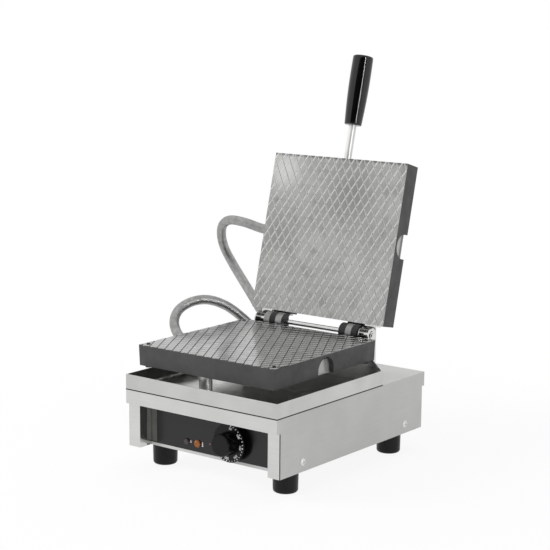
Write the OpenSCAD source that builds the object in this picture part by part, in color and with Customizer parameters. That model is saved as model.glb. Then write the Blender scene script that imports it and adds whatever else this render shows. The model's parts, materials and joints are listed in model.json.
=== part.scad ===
// Waffle cone maker with one pair of hinged square plates, standing open.
// Millimetres, +Z up, the front is towards -Y. The pieces are drawn on a bench frame whose
// Y starts at the front face and whose Z starts at the ground, and the lid is drawn closed.

/* [Housing] */
// Width of the housing
body_w = 300; // [280:1:340]
// Depth of the housing, front band to rear skirt
body_d = 400; // [380:1:440]
// Height of the housing above the feet
body_h = 93; // [90:1:110]
// Thickness of the stainless sheet
sheet = 1.5; // [1:0.1:2]
// Height of the front band
band_h = 22.4; // [18:0.1:30]
// Height of the rear skirt
skirt_h = 23.4; // [18:0.1:30]
// How far the rear skirt overhangs the rear panel
skirt_out = 6.4; // [4:0.1:10]
// Set-back of the corner posts behind the front band
post_back = 6.9; // [4:0.1:10]
// Width of a corner post
post_w = 22.6; // [18:0.1:30]

/* [Feet] */
// Height of a foot
foot_h = 35; // [30:1:45]
// Radius of a foot
foot_r = 20; // [17:0.1:21]
// Half the distance between the left and right feet
foot_x = 121; // [110:1:122]
// Front feet, distance behind the front face
foot_front_y = 60; // [60:1:80]
// Rear feet, distance behind the front face
foot_rear_y = 340; // [320:1:345]

/* [Controls] */
// Distance of the control panel behind the front face
panel_back = 35; // [33:0.5:36]
// Left edge of the black fascia
fascia_left = -116; // [-124:1:-80]
// Dial centre, to the right of the middle
dial_x = 39.7; // [34:0.1:60]
// Dial centre, above the ground
dial_z = 68.8; // [67:0.1:72]
// Radius of the dial skirt
dial_r = 30.5; // [26:0.1:31]
// Radius of the knob's grip
knob_r = 17.5; // [14:0.1:20]
// Heating lamp, to the right of the middle
heat_lamp_x = -31; // [-40:1:-25]
// Power lamp, to the right of the middle
power_lamp_x = -53; // [-70:1:-50]
// Height of both lamps above the ground
lamp_z = 53; // [50:1:60]

/* [Drip tray] */
// Depth of the tray, front to back
tray_d = 276.6; // [270:0.1:277]
// Height of the tray's rim above the deck
tray_h = 24.4; // [20:0.1:28]
// Thickness of the tray's sheet
tray_sheet = 1.2; // [1:0.1:1.5]
// Pillar centre, to the right of the middle
pillar_x = -20; // [-26:1:-10]
// Pillar centre, behind the front face
pillar_y = 40; // [38:1:50]
// Radius of the pillar
pillar_r = 10.5; // [8:0.1:11]

/* [Baking plates] */
// Width of a plate
plate_w = 267; // [260:1:270]
// Depth of a plate
plate_d = 265; // [262:1:266]
// Thickness of a plate over its skirt walls
plate_h = 33; // [32:1:34]
// Front edge of the closed plates, behind the front face
plate_y = 12.5; // [12:0.1:13]
// Working height of the lower plate above the ground
plate_top = 200; // [198:1:203]
// Gap between the closed plates
plate_gap = 2; // [1.5:0.1:3]
// Thickness of a plate behind its working face
face_t = 10; // [9:0.5:11]
// Thickness of a plate's skirt wall
wall_t = 8; // [7:0.5:9]
// Width of the cable notch in the middle of each side
notch_w = 40; // [34:1:42]

/* [Hinge] */
// Hinge axis, behind the front face
hinge_y = 294; // [293:0.5:296]
// Lid angle, from closed to resting open
lid_open = 103.9; // [90:0.1:105]
// Radius of the hinge shaft
shaft_r = 4; // [3.5:0.1:4.5]
// Radius of the hinge lugs about the shaft
lug_r = 14; // [13:0.1:14.3]

/* [Handle] */
// Height of the handle's axis above the closed lid's working face
handle_up = 21.8; // [20:0.1:24]
// Bare length of the handle rod
rod_len = 59; // [40:1:80]
// Radius of the handle rod
rod_r = 6.3; // [5:0.1:7]
// Length of the grip
grip_len = 117; // [100:1:130]
// Radius of the grip at its lower end
grip_r0 = 14.3; // [12:0.1:16]
// Radius of the grip at its outer end
grip_r1 = 17.3; // [15:0.1:19]

/* [Conduits] */
// Outer radius of the armoured conduits
hose_r = 8.1; // [7:0.1:8.6]
// Conduit axis, below the working face of its plate
hose_down = 20; // [19.7:0.1:21]
// Lower plate's conduit where it meets the deck, right of the middle
lower_hose_x = -131; // [-132:1:-130]
// Lower plate's conduit where it meets the deck, behind the front face
lower_hose_y = 318; // [317:1:320]
// Lid's conduit where it meets the deck, right of the middle
upper_hose_x = -120; // [-124:1:-118]
// Lid's conduit where it meets the deck, behind the front face
upper_hose_y = 347; // [345:1:352]

/* [Hidden] */
$fn = 64;

// Small distances: a joint between sheets, a sliding face, a cutter's overrun
seam = 0.2;
slide = 0.3;
over = 1;

half_w = body_w / 2;
deck_z = foot_h + body_h;
band_z = deck_z - band_h;
skirt_z = deck_z - skirt_h;
inner_x = half_w - sheet - seam;
back_y = body_d - skirt_out;

post_in = half_w - post_w;
post_flange = 30;
lip_h = 4.6;
lip_y = panel_back - 1.8;
fascia_t = 0.8;
side_flange_h = 27;
side_screw_y = [63.5, 342.5];
side_screw_z = foot_h + 15.5;
foot_draft = 0.6;
foot_round = 4.5;
foot_places = [for (x = [-foot_x, foot_x]) for (y = [foot_front_y, foot_rear_y]) [x, y]];
mains_x = 100;
mains_z = 60;

tray_lift = 0.8;
tray_floor_z = deck_z + tray_lift + tray_sheet;
rim_z = deck_z + tray_h;
pillar_stud_r = 4;

plate_bottom = plate_top - plate_h;
plate_mid_y = plate_d / 2;
plate_back = plate_y + plate_d;
lid_face = plate_top + plate_gap;
draft = 1;
hollow_x = plate_w / 2 - wall_t;
boss_r = 8;
boss_x = plate_w / 2 - 9;
boss_y = [12.5, plate_d - 12.5];
cover_z = -plate_h;
cover_t = 1.2;
screw_tip_z = -10;
cover_flange_x = hollow_x - 2;
element_r = 4;
element_pitch = 36;
element_y = [75, 215];
element_z = -face_t - element_r - seam;

hinge_z = lid_face;
fork_x = [[58.5, 71.2], [83.4, 94.6]];
tongue_x = [[71.5, 83.1]];
lug_flange_t = 2.5;
lug_flange_z = [-30, -10];
fork_flange_x = [58.5, 94.6];
fork_bolts = [[77.3, -25.2], [77.3, -15]];
tongue_flange_x = [60, 94.6];
tongue_bolts = [[65.7, -20], [88.9, -20]];
lug_back = 8.5;
lug_bolt_r = 2.5;
bush_r = 6;
stand_x = [95, 116];
stand_sheet = 2;
stand_r = 11.5;
stand_foot = 26;
stand_top = 13;
stand_bolts = [[105.5, 290], [105.5, 313]];
run_fit = 0.05;

handle_z = lid_face + handle_up;
grip_y = plate_y - rod_len;
tip_y = grip_y - grip_len;
grip_belly = 1.3;

gland_r = 9.5;
gland_x = -plate_w / 2 + 1.5;
deck_gland_r = 11;
deck_gland_h = 10;
lower_hose_end = [lower_hose_x, lower_hose_y, deck_z + deck_gland_h];
upper_hose_end = [upper_hose_x, upper_hose_y, deck_z + deck_gland_h];

// The whole depth runs from the front face to the tip of the open lid's handle
reach = hinge_y + (hinge_y - tip_y) * sin(lid_open - 90) + (handle_up + grip_r1) * cos(lid_open - 90);

function unit(v) = v / norm(v);

// Where a point of the closed lid is when the lid rests open
function opened_point(p) = [
    p.x,
    hinge_y + (p.y - hinge_y) * cos(lid_open) + (p.z - hinge_z) * sin(lid_open),
    hinge_z - (p.y - hinge_y) * sin(lid_open) + (p.z - hinge_z) * cos(lid_open)
];

// Routes of the conduits and of the thermostat's capillary tube
lower_route = concat(
    [[gland_x, plate_y + plate_mid_y, plate_top - hose_down]],
    [
        [-150, 145, 181], [-174, 152, 188], [-195, 167, 204], [-206, 192, 219],
        [-202, 221, 229], [-188, 247, 230], [-170, 271, 219], [-154, 291, 200],
        [-142, 307, 180], [-134, 316, 159]
    ],
    [lower_hose_end]
);
upper_start = opened_point([gland_x, plate_y + plate_mid_y, lid_face + hose_down]);
upper_route = concat(
    [upper_start],
    [
        [-156, 348, 345], [-189, 345, 352], [-221, 346, 353], [-246, 356, 341],
        [-260, 369, 320], [-263, 381, 296], [-253, 387, 273], [-230, 382, 251],
        [-201, 369, 232], [-172, 355, 214], [-145, 346, 191], [-127, 345, 165]
    ],
    [upper_hose_end]
);
capillary_r = 1.5;
capillary_route = concat(
    [[dial_x, 66, 76], [dial_x, 74, 76]],
    [[30, 110, 90], [-30, 180, 98], [-90, 260, 98], [-124, 306, 102]],
    [for (down = [14, 8]) [lower_hose_x, lower_hose_y, deck_z - down]]
);

// A point on the smooth curve through the route's points
function curve_point(route, i, u) =
    let (
        last = len(route) - 1,
        b = route[i],
        c = route[i + 1],
        a = i > 0 ? route[i - 1] : 2 * b - c,
        d = i + 1 < last ? route[i + 2] : 2 * c - b
    )
    ((2 * b) + (c - a) * u + (2 * a - 5 * b + 4 * c - d) * u ^ 2
        + (3 * b - a - 3 * c + d) * u ^ 3) / 2;

function curve(route, steps) = concat(
    [for (i = [0 : len(route) - 2]) for (k = [0 : steps - 1]) curve_point(route, i, k / steps)],
    [route[len(route) - 1]]
);

function directions(p) = [
    for (i = [0 : len(p) - 1]) unit(p[min(i + 1, len(p) - 1)] - p[max(i - 1, 0)])
];

// Carries one side direction along the curve without twisting it
function carried(dirs, side, i = 0) =
    i == len(dirs) ? [] :
    let (next = unit(side - (side * dirs[i]) * dirs[i]))
    concat([next], carried(dirs, next, i + 1));

// A round tube swept along a route, leaving and arriving square to the axes at its ends
module swept_tube(route, r, sides, steps, leave, arrive) {
    p = curve(route, steps);
    mid = directions(p);
    dirs = [for (i = [0 : len(p) - 1]) i == 0 ? leave : i == len(p) - 1 ? arrive : mid[i]];
    across = carried(dirs, [0.3, 1, 0.2]);
    rings = len(p);
    points = [
        for (i = [0 : rings - 1]) for (k = [0 : sides - 1])
            p[i] + r * (across[i] * cos(360 * k / sides)
                + cross(dirs[i], across[i]) * sin(360 * k / sides))
    ];
    walls = [
        for (i = [0 : rings - 2]) for (k = [0 : sides - 1])
            [
                i * sides + k, (i + 1) * sides + k,
                (i + 1) * sides + (k + 1) % sides, i * sides + (k + 1) % sides
            ]
    ];
    caps = [
        [for (k = [0 : sides - 1]) k],
        [for (k = [sides - 1 : -1 : 0]) (rings - 1) * sides + k]
    ];
    polyhedron(points, concat(walls, caps), convexity = 6);
}

// A box between two corners
module block(low, high) translate(low) cube(high - low);

// Both mirror images of a piece that is drawn on the right
module pair() {
    children();
    mirror([1, 0, 0]) children();
}

module rod_x(x0, x1, y, z, r) translate([x0, y, z]) rotate([0, 90, 0]) cylinder(r = r, h = x1 - x0);

module rod_y(y0, y1, x, z, r) translate([x, y0, z]) rotate([-90, 0, 0]) cylinder(r = r, h = y1 - y0);

module rod_z(z0, z1, x, y, r) translate([x, y, z0]) cylinder(r = r, h = z1 - z0);

// Centres the bench frame on the part's own origin
module placed() translate([0, -reach / 2, 0]) children();

// Swings what is drawn on the closed lid to its resting open place
module opened() {
    placed()
        translate([0, hinge_y, hinge_z])
            rotate([-lid_open, 0, 0])
                translate([0, -hinge_y, -hinge_z])
                    children();
}

// A plate's own frame: working face at Z 0, back below it, front edge at Y 0
module on_lower() translate([0, plate_y, plate_top]) children();

module on_upper() translate([0, plate_y, lid_face]) mirror([0, 0, 1]) children();

// ---- Housing ----

module side_outline() {
    front_y = post_back + sheet + 0.5;
    polygon([
        [0, band_z], [0, deck_z], [body_d, deck_z], [body_d, skirt_z],
        [back_y, skirt_z], [back_y, foot_h], [front_y, foot_h], [front_y, band_z]
    ]);
}

module housing_cover() color("gainsboro") placed() difference() {
    union() {
        block([-half_w, 0, deck_z - sheet], [half_w, body_d, deck_z]);
        block([-half_w, 0, band_z], [half_w, sheet, deck_z]);
        block([-half_w, 0, band_z], [half_w, panel_back - seam, band_z + sheet]);
        block([-half_w, body_d - sheet, skirt_z], [half_w, body_d, deck_z]);
        pair() translate([half_w - sheet, 0, 0])
            rotate([90, 0, 90]) linear_extrude(sheet) side_outline();
    }
    rod_z(deck_z - sheet - over, deck_z + over, pillar_x, pillar_y, pillar_stud_r + 0.5);
    for (end = [lower_hose_end, upper_hose_end])
        rod_z(deck_z - sheet - over, deck_z + over, end.x, end.y, 8);
    pair() for (y = side_screw_y)
        rod_x(half_w - sheet - over, half_w + over, y, side_screw_z, 2.6);
    pair() for (place = stand_bolts)
        rod_z(deck_z - sheet - over, deck_z + over, place.x, place.y, 2.6);
}

// The right-hand corner post: a front face with an inner and an outer return
module corner_post() {
    top = band_z - seam;
    block([post_in, post_back, foot_h], [half_w, post_back + sheet, top]);
    block([post_in, post_back, foot_h], [post_in + sheet, panel_back - seam, top]);
    block(
        [inner_x - sheet, post_back, foot_h],
        [inner_x, post_back + post_flange, top]
    );
}

module post_right() color("silver") placed() corner_post();

module post_left() color("silver") placed() mirror([1, 0, 0]) corner_post();

module bottom_plate() color("lightgray") placed() difference() {
    union() {
        block(
            [-inner_x, post_back + post_flange + 1, foot_h],
            [inner_x, back_y - sheet - seam, foot_h + sheet]
        );
        block(
            [-post_in + seam, lip_y, foot_h],
            [post_in - seam, post_back + post_flange + 2, foot_h + sheet]
        );
        block([-post_in + seam, lip_y, foot_h], [post_in - seam, lip_y + sheet, foot_h + lip_h]);
        pair() block([inner_x - sheet, 40, foot_h], [inner_x, body_d - 12, foot_h + side_flange_h]);
    }
    for (place = foot_places)
        rod_z(foot_h - over, foot_h + sheet + over, place.x, place.y, 3.2);
    pair() for (y = side_screw_y)
        rod_x(inner_x - sheet - over, inner_x + over, y, side_screw_z, 2.6);
    for (row = [0 : 7]) for (x = [-62, 0, 62])
        block([x - 22, 120 + 22 * row, foot_h - over], [x + 22, 125 + 22 * row, foot_h + sheet + over]);
}

module rear_panel() color("lightgray") placed() difference() {
    block([-inner_x, back_y - sheet, foot_h + sheet + seam], [inner_x, back_y, deck_z - sheet - seam]);
    rod_y(back_y - sheet - over, back_y + over, mains_x, mains_z, 8);
    for (row = [0 : 3]) for (x = [-90, -40, 10])
        block([x - 18, back_y - sheet - over, 52 + 11 * row], [x + 18, back_y + over, 56 + 11 * row]);
}

module side_screws() color("white") placed() pair() for (y = side_screw_y) {
    translate([half_w, y, side_screw_z]) rotate([0, 90, 0])
        rotate_extrude() polygon([[0, 0], [6, 0], [5.7, 1.2], [4.4, 2.3], [2.4, 2.9], [0, 3]]);
    rod_x(half_w - 9, half_w, y, side_screw_z, 2.5);
    rod_x(inner_x - sheet - 3.5, inner_x - sheet, y, side_screw_z, 4.4);
}

// ---- Feet ----

module foot(x, y) color("#1c1c1c") placed() translate([x, y, 0]) difference() {
    rotate_extrude() polygon(concat(
        [[0, 0]],
        [for (a = [-90 : 15 : 0]) [
            foot_r - foot_draft - foot_round * (1 - cos(a)), foot_round * (1 + sin(a))
        ]],
        [[foot_r, foot_h], [0, foot_h]]
    ));
    rod_z(12, foot_h + over, 0, 0, 3);
}

module foot_front_left() foot(-foot_x, foot_front_y);

module foot_front_right() foot(foot_x, foot_front_y);

module foot_rear_left() foot(-foot_x, foot_rear_y);

module foot_rear_right() foot(foot_x, foot_rear_y);

module foot_screws() color("darkgray") placed() for (place = foot_places) {
    rod_z(14, foot_h + sheet, place.x, place.y, 3);
    translate([place.x, place.y, foot_h + sheet]) cylinder(r = 5.6, h = 4, $fn = 6);
}

// ---- Controls ----

module control_panel() color("silver") placed() difference() {
    block(
        [-inner_x + sheet + seam, panel_back, foot_h + sheet + seam],
        [inner_x - sheet - seam, panel_back + sheet, band_z - seam]
    );
    panel_holes();
}

module panel_holes() {
    rod_y(panel_back - 3, panel_back + 3, dial_x, dial_z, 5);
    rod_y(panel_back - 3, panel_back + 3, heat_lamp_x, lamp_z, 5);
    rod_y(panel_back - 3, panel_back + 3, power_lamp_x, lamp_z, 4);
}

module panel_fascia() color("#242424") placed() difference() {
    block(
        [fascia_left, panel_back - fascia_t, foot_h + lip_h + seam],
        [post_in - seam, panel_back, band_z - seam]
    );
    panel_holes();
}

// A lens proud of the fascia, with its lamp holder behind the panel
module lamp(x, lens_r, neck_r) {
    face_y = panel_back - fascia_t;
    translate([x, face_y, lamp_z]) rotate([90, 0, 0])
        rotate_extrude() polygon([[0, 0], [lens_r, 0], [lens_r, 1.6], [lens_r - 1.2, 3], [0, 3.4]]);
    rod_y(face_y, panel_back + sheet, x, lamp_z, neck_r);
    rod_y(panel_back + sheet, panel_back + 24, x, lamp_z, neck_r + 1.6);
}

module heat_lamp() color("#b8661c") placed() lamp(heat_lamp_x, 6.2, 5);

module power_lamp() color("#3a2020") placed() lamp(power_lamp_x, 5, 4);

module thermostat_body() color("tan") placed() difference() {
    union() {
        block([dial_x - 19, panel_back + sheet, dial_z - 17], [dial_x + 19, 66, dial_z + 17]);
        rod_y(panel_back - 4, panel_back + sheet, dial_x, dial_z, 5);
    }
    rod_y(panel_back - 5, 51, dial_x, dial_z, 3 + run_fit);
}

module capillary_tube() color("peru") placed()
    swept_tube(capillary_route, capillary_r, 8, 3, [0, 1, 0], [0, 0, 1]);

module terminal_block() color("ivory") placed() difference() {
    block([50, 332, foot_h + sheet], [110, 352, foot_h + sheet + 21]);
    for (i = [0 : 4]) rod_z(foot_h + sheet + 12, foot_h + 30, 56 + 12 * i, 342, 3.2);
}

module earth_stud() color("goldenrod") placed() {
    rod_z(foot_h + sheet, foot_h + 22, 36, 342, 3);
    translate([36, 342, foot_h + sheet]) cylinder(r = 5.6, h = 5, $fn = 6);
}

module mains_gland() color("#222222") placed() difference() {
    union() {
        rod_y(back_y - sheet - 5, back_y + 12, mains_x, mains_z, 8);
        translate([mains_x, back_y, mains_z]) rotate([-90, 0, 0]) cylinder(r = 12, h = 5, $fn = 6);
        translate([mains_x, back_y - sheet - 5, mains_z]) rotate([-90, 0, 0])
            cylinder(r = 12, h = 5, $fn = 6);
        rod_y(back_y + 5, back_y + 12, mains_x, mains_z, 10);
    }
    rod_y(back_y - sheet - 6, back_y + 13, mains_x, mains_z, 4.5);
}

// The dial skirt carries the printed ring, and the knob's grip stands in front of it
module dial_skirt() color("#1a1a1a") placed() translate([dial_x, 22, dial_z]) rotate([-90, 0, 0])
    rotate_extrude() polygon([
        [3, 0], [dial_r - 1.5, 0], [dial_r, 1], [dial_r, 2.4], [10, 3], [10, 8], [3, 8]
    ]);

module knob_grip() color("#202020") placed() translate([dial_x, 22, dial_z]) rotate([90, 0, 0])
    difference() {
        rotate_extrude() polygon([
            [0, 0], [knob_r + 1, 0], [knob_r + 0.4, 3], [knob_r, 18.5], [knob_r - 1.5, 20.5], [0, 20.5]
        ]);
        translate([0, 0, -over]) cylinder(r = 3, h = 13);
        for (a = [0 : 18 : 342]) rotate([0, 0, a])
            translate([knob_r + 1.6, 0, 4]) cylinder(r = 2, h = 20);
    }

module knob_spindle() color("silver") placed() rod_y(10, 50, dial_x, dial_z, 3);

// ---- Drip tray and plate supports ----

module drip_tray() color("darkgray") placed() difference() {
    block([-half_w, 0, deck_z + tray_lift], [half_w, tray_d, rim_z]);
    block(
        [-half_w + tray_sheet, tray_sheet, tray_floor_z],
        [half_w - tray_sheet, tray_d - tray_sheet, rim_z + over]
    );
    rod_z(deck_z, tray_floor_z + over, pillar_x, pillar_y, pillar_stud_r);
}

module tray_gasket() color("#303030") placed() difference() {
    block([-half_w + 3, 3, deck_z], [half_w - 3, tray_d - 3, deck_z + tray_lift]);
    block([-half_w + 11, 11, deck_z - over], [half_w - 11, tray_d - 11, deck_z + 2]);
}

module front_pillar() color("silver") placed() {
    rod_z(tray_floor_z, plate_bottom, pillar_x, pillar_y, pillar_r);
    rod_z(deck_z - 14, plate_bottom + 16, pillar_x, pillar_y, pillar_stud_r);
}

module pillar_nut() color("darkgray") placed() difference() {
    translate([pillar_x, pillar_y, deck_z - sheet - 6.5]) cylinder(r = 7.5, h = 6.5, $fn = 6);
    rod_z(deck_z - 20, deck_z, pillar_x, pillar_y, pillar_stud_r);
}

// An upright with chamfered shoulders inside the tray's rear wall, folded under the plate
module rear_support() color("dimgray") placed() {
    side_x = half_w - tray_sheet - seam;
    top_x = plate_w / 2 - 1.5;
    front_y = tray_d - tray_sheet - seam - sheet;
    translate([0, front_y + sheet, 0]) rotate([90, 0, 0]) linear_extrude(sheet) polygon([
        [-side_x, tray_floor_z], [side_x, tray_floor_z], [side_x, rim_z],
        [top_x, plate_bottom], [-top_x, plate_bottom], [-side_x, rim_z]
    ]);
    block([-118, front_y - 12, plate_bottom - sheet], [118, front_y + sheet, plate_bottom]);
}

// ---- Baking plates ----

module notch() {
    rod_x(hollow_x - over, plate_w / 2 + over, plate_mid_y, -5 - notch_w / 2, notch_w / 2);
    block(
        [hollow_x - over, plate_mid_y - notch_w / 2, -plate_h - over],
        [plate_w / 2 + over, plate_mid_y + notch_w / 2, -5 - notch_w / 2]
    );
}

// A casting with a thick face, skirt walls, a boss in each corner and a notch in each side
module plate_casting() difference() {
    union() {
        difference() {
            hull() {
                block([-plate_w / 2, 0, -1], [plate_w / 2, plate_d, 0]);
                block(
                    [-plate_w / 2 + draft, draft, -plate_h],
                    [plate_w / 2 - draft, plate_d - draft, -plate_h + 1]
                );
            }
            block([-hollow_x, wall_t, -plate_h - over], [hollow_x, plate_d - wall_t, -face_t]);
        }
        pair() for (y = boss_y) rod_z(cover_z + cover_t, -face_t + over, boss_x, y, boss_r);
    }
    pair() notch();
}

// A sheet closing the plate's back, with upturned sides behind the notches
module plate_cover() difference() {
    union() {
        block(
            [-hollow_x + seam, wall_t + seam, cover_z],
            [hollow_x - seam, plate_d - wall_t - seam, cover_z + cover_t]
        );
        pair() block(
            [cover_flange_x - cover_t, plate_mid_y - 38, cover_z],
            [cover_flange_x, plate_mid_y + 38, -face_t - 1]
        );
    }
    rod_x(-hollow_x, -hollow_x + 6, plate_mid_y, -hose_down, 6);
    pair() for (y = boss_y) rod_z(cover_z - over, cover_z + 3, boss_x, y, 3.2);
}

// A tubular heater in six runs joined by round bends
module heater() {
    runs = [for (i = [0 : 5]) (i - 2.5) * element_pitch];
    for (x = runs) rod_y(element_y[0], element_y[1], x, element_z, element_r);
    for (i = [0 : 4]) translate([(i - 2) * element_pitch, element_y[(i + 1) % 2], element_z])
        rotate([0, 0, i % 2 == 0 ? 0 : 180])
            rotate_extrude(angle = 180) translate([element_pitch / 2, 0]) circle(r = element_r, $fn = 32);
    for (x = [runs[0], runs[5]]) rod_y(element_y[0] - 16, element_y[0], x, element_z, 2);
}

// The conduit's gland: an outer body, a spigot through the cover and a locknut
module hose_gland() {
    rod_x(gland_x, -cover_flange_x, plate_mid_y, -hose_down, gland_r);
    rod_x(-cover_flange_x, -cover_flange_x + 6, plate_mid_y, -hose_down, 6);
    rod_x(-cover_flange_x + cover_t, -cover_flange_x + 4.2, plate_mid_y, -hose_down, 8.5);
}

module lower_plate() color("dimgray") placed() on_lower() difference() {
    union() {
        plate_casting();
        rod_z(-plate_h, -face_t + over, pillar_x, pillar_y - plate_y, 13);
    }
    rod_z(-plate_h - over, -plate_h + 16, pillar_x, pillar_y - plate_y, pillar_stud_r);
    pair() for (y = boss_y) rod_z(-plate_h - over, over, boss_x, y, 3);
    lug_bolt_holes(tongue_bolts);
    mirror([1, 0, 0]) lug_bolt_holes(fork_bolts);
}

module lower_cover() color("silver") placed() on_lower() difference() {
    plate_cover();
    rod_z(cover_z - over, cover_z + 3, pillar_x, pillar_y - plate_y, 13.2);
}

module lower_element() color("saddlebrown") placed() on_lower() heater();

module sensor_bulb() color("peru") placed() on_lower() rod_y(90, 170, 0, element_z, 3);

module lower_plate_screws() color("#2a2a2a") placed() on_lower() pair() for (y = boss_y) {
    rod_z(cover_z - 4, screw_tip_z, boss_x, y, 2.8);
    translate([boss_x, y, cover_z - 4]) cylinder(r = 5, h = 4, $fn = 6);
}

module lower_hose_gland() color("gray") placed() on_lower() hose_gland();

module upper_plate() color("dimgray") opened() on_upper() difference() {
    union() {
        plate_casting();
        block([-12, 2, cover_z + cover_t + seam], [12, 30, -face_t + over]);
    }
    rod_y(-over, 26, 0, -handle_up, rod_r - 1.3);
    pair() for (y = boss_y) rod_z(-plate_h - over, -face_t - 4, boss_x, y, 2.5);
    lug_bolt_holes(fork_bolts);
    mirror([1, 0, 0]) lug_bolt_holes(tongue_bolts);
}

module upper_cover() color("silver") opened() on_upper() plate_cover();

module upper_element() color("saddlebrown") opened() on_upper() heater();

module upper_cover_screws() color("darkgray") opened() on_upper() pair() for (y = boss_y) {
    rod_z(cover_z - 2.6, cover_z, boss_x, y, 5);
    rod_z(cover_z, -face_t - 6, boss_x, y, 2.4);
}

module upper_hose_gland() color("gray") opened() on_upper() hose_gland();

// ---- Hinge ----

// A bolted flange with one prong for each span, rounded about the shaft and flat at its back
module hinge_lug(flange_x, bolts, spans, axis_z, bore_r) {
    axis_y = hinge_y - plate_y;
    difference() {
        union() {
            block(
                [flange_x[0], plate_d, lug_flange_z[0]],
                [flange_x[1], plate_d + lug_flange_t, lug_flange_z[1]]
            );
            for (x = spans) {
                rod_x(x[0], x[1], axis_y, axis_z, lug_r);
                translate([x[0], 0, 0]) rotate([90, 0, 90]) linear_extrude(x[1] - x[0]) polygon([
                    [plate_d, lug_flange_z[0]], [plate_d, lug_flange_z[1]],
                    [axis_y - lug_r / 2, axis_z - lug_r / 2], [axis_y, axis_z],
                    [axis_y + lug_back, axis_z], [axis_y + lug_back, axis_z - 0.9 * lug_r]
                ]);
            }
        }
        block(
            [flange_x[0] - over, axis_y + lug_back, axis_z - lug_r - over],
            [flange_x[1] + over, axis_y + lug_r + over, axis_z + lug_r + over]
        );
        lug_bolt_holes(bolts);
        for (x = spans) rod_x(x[0] - over, x[1] + over, axis_y, axis_z, bore_r);
    }
}

module fork(axis_z, bore_r) hinge_lug(fork_flange_x, fork_bolts, fork_x, axis_z, bore_r);

module tongue(axis_z, bore_r)
    hinge_lug(tongue_flange_x, tongue_bolts, tongue_x, axis_z, bore_r);

module lug_bolts(bolts) for (at = bolts) {
    translate([at[0], plate_d + lug_flange_t, at[1]]) rotate([-90, 0, 0])
        cylinder(r = 4.4, h = 3, $fn = 6);
    rod_y(plate_d - 6, plate_d + lug_flange_t, at[0], at[1], lug_bolt_r);
}

module lug_bolt_holes(bolts) for (at = bolts)
    rod_y(plate_d - 7, plate_d + lug_flange_t + over, at[0], at[1], lug_bolt_r);

module lower_lug_right() color("gray") placed() on_lower()
    tongue(hinge_z - plate_top, shaft_r + run_fit);

module lower_lug_left() color("gray") placed() on_lower() mirror([1, 0, 0])
    fork(hinge_z - plate_top, shaft_r + run_fit);

module lower_lug_screws() color("darkgray") placed() on_lower() {
    lug_bolts(tongue_bolts);
    mirror([1, 0, 0]) lug_bolts(fork_bolts);
}

module upper_lug_right() color("#222222") opened() on_upper()
    fork(hinge_z - lid_face, bush_r);

module upper_lug_left() color("#222222") opened() on_upper() mirror([1, 0, 0])
    tongue(hinge_z - lid_face, bush_r);

module upper_lug_screws() color("darkgray") opened() on_upper() {
    lug_bolts(fork_bolts);
    mirror([1, 0, 0]) lug_bolts(tongue_bolts);
}

module bush(x) difference() {
    rod_x(x[0], x[1], hinge_y, hinge_z, bush_r);
    rod_x(x[0] - over, x[1] + over, hinge_y, hinge_z, shaft_r + run_fit);
}

module hinge_bushes() color("peru") opened() {
    for (x = fork_x) bush(x);
    mirror([1, 0, 0]) for (x = tongue_x) bush(x);
}

module hinge_shaft() color("silver") placed() rod_x(-118.5, 118.5, hinge_y, hinge_z, shaft_r);

module shaft_clips() color("silver") placed() pair() difference() {
    rod_x(stand_x[1] + seam, stand_x[1] + 1.4, hinge_y, hinge_z, 7);
    rod_x(stand_x[1], stand_x[1] + 2, hinge_y, hinge_z, shaft_r + run_fit);
}

// One ear of a hinge stand, rounded about the hinge axis
module stand_ear(x) difference() {
    union() {
        block(
            [x, hinge_y - stand_r, deck_z],
            [x + stand_sheet, hinge_y + stand_r, hinge_z]
        );
        rod_x(x, x + stand_sheet, hinge_y, hinge_z, stand_r);
    }
    rod_x(x - over, x + stand_sheet + over, hinge_y, hinge_z, shaft_r + run_fit);
}

// Two ears on a foot, joined by a rear web whose folded top stops the open lid
module hinge_stand() difference() {
    web_y = hinge_y + stand_r - stand_sheet;
    union() {
        stand_ear(stand_x[0]);
        stand_ear(stand_x[1] - stand_sheet);
        block([stand_x[0], web_y, deck_z], [stand_x[1], web_y + stand_sheet, hinge_z + stand_top]);
        block(
            [stand_x[0], hinge_y - stand_r, deck_z],
            [stand_x[1], hinge_y + stand_foot, deck_z + stand_sheet]
        );
        stop_tab();
    }
    for (place = stand_bolts) rod_z(deck_z - over, deck_z + 3, place.x, place.y, 2.6);
}

// Lies along the open lid's rear wall, so it is drawn in the lid's frame and swung with it
module stop_tab() translate([0, hinge_y, hinge_z]) rotate([-lid_open, 0, 0])
    translate([0, -hinge_y, -hinge_z]) block(
        [stand_x[0], plate_back + slide, lid_face + 6],
        [stand_x[1], plate_back + slide + stand_sheet, lid_face + 21]
    );

module hinge_stand_right() color("gainsboro") placed() hinge_stand();

module hinge_stand_left() color("gainsboro") placed() mirror([1, 0, 0]) hinge_stand();

module hinge_stand_bolts() color("darkgray") placed() pair() for (place = stand_bolts) {
    rod_z(deck_z - 6, deck_z + stand_sheet, place.x, place.y, 2.5);
    translate([place.x, place.y, deck_z + stand_sheet]) cylinder(r = 4.4, h = 3, $fn = 6);
    translate([place.x, place.y, deck_z - sheet - 4]) cylinder(r = 4.4, h = 4, $fn = 6);
}

// ---- Conduits ----

module conduit_lower() color("darkgray") placed()
    swept_tube(lower_route, hose_r, 12, 2, [-1, 0, 0], [0, 0, -1]);

module conduit_upper() color("darkgray") placed()
    swept_tube(upper_route, hose_r, 12, 2, [-1, 0, 0], [0, 0, -1]);

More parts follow.
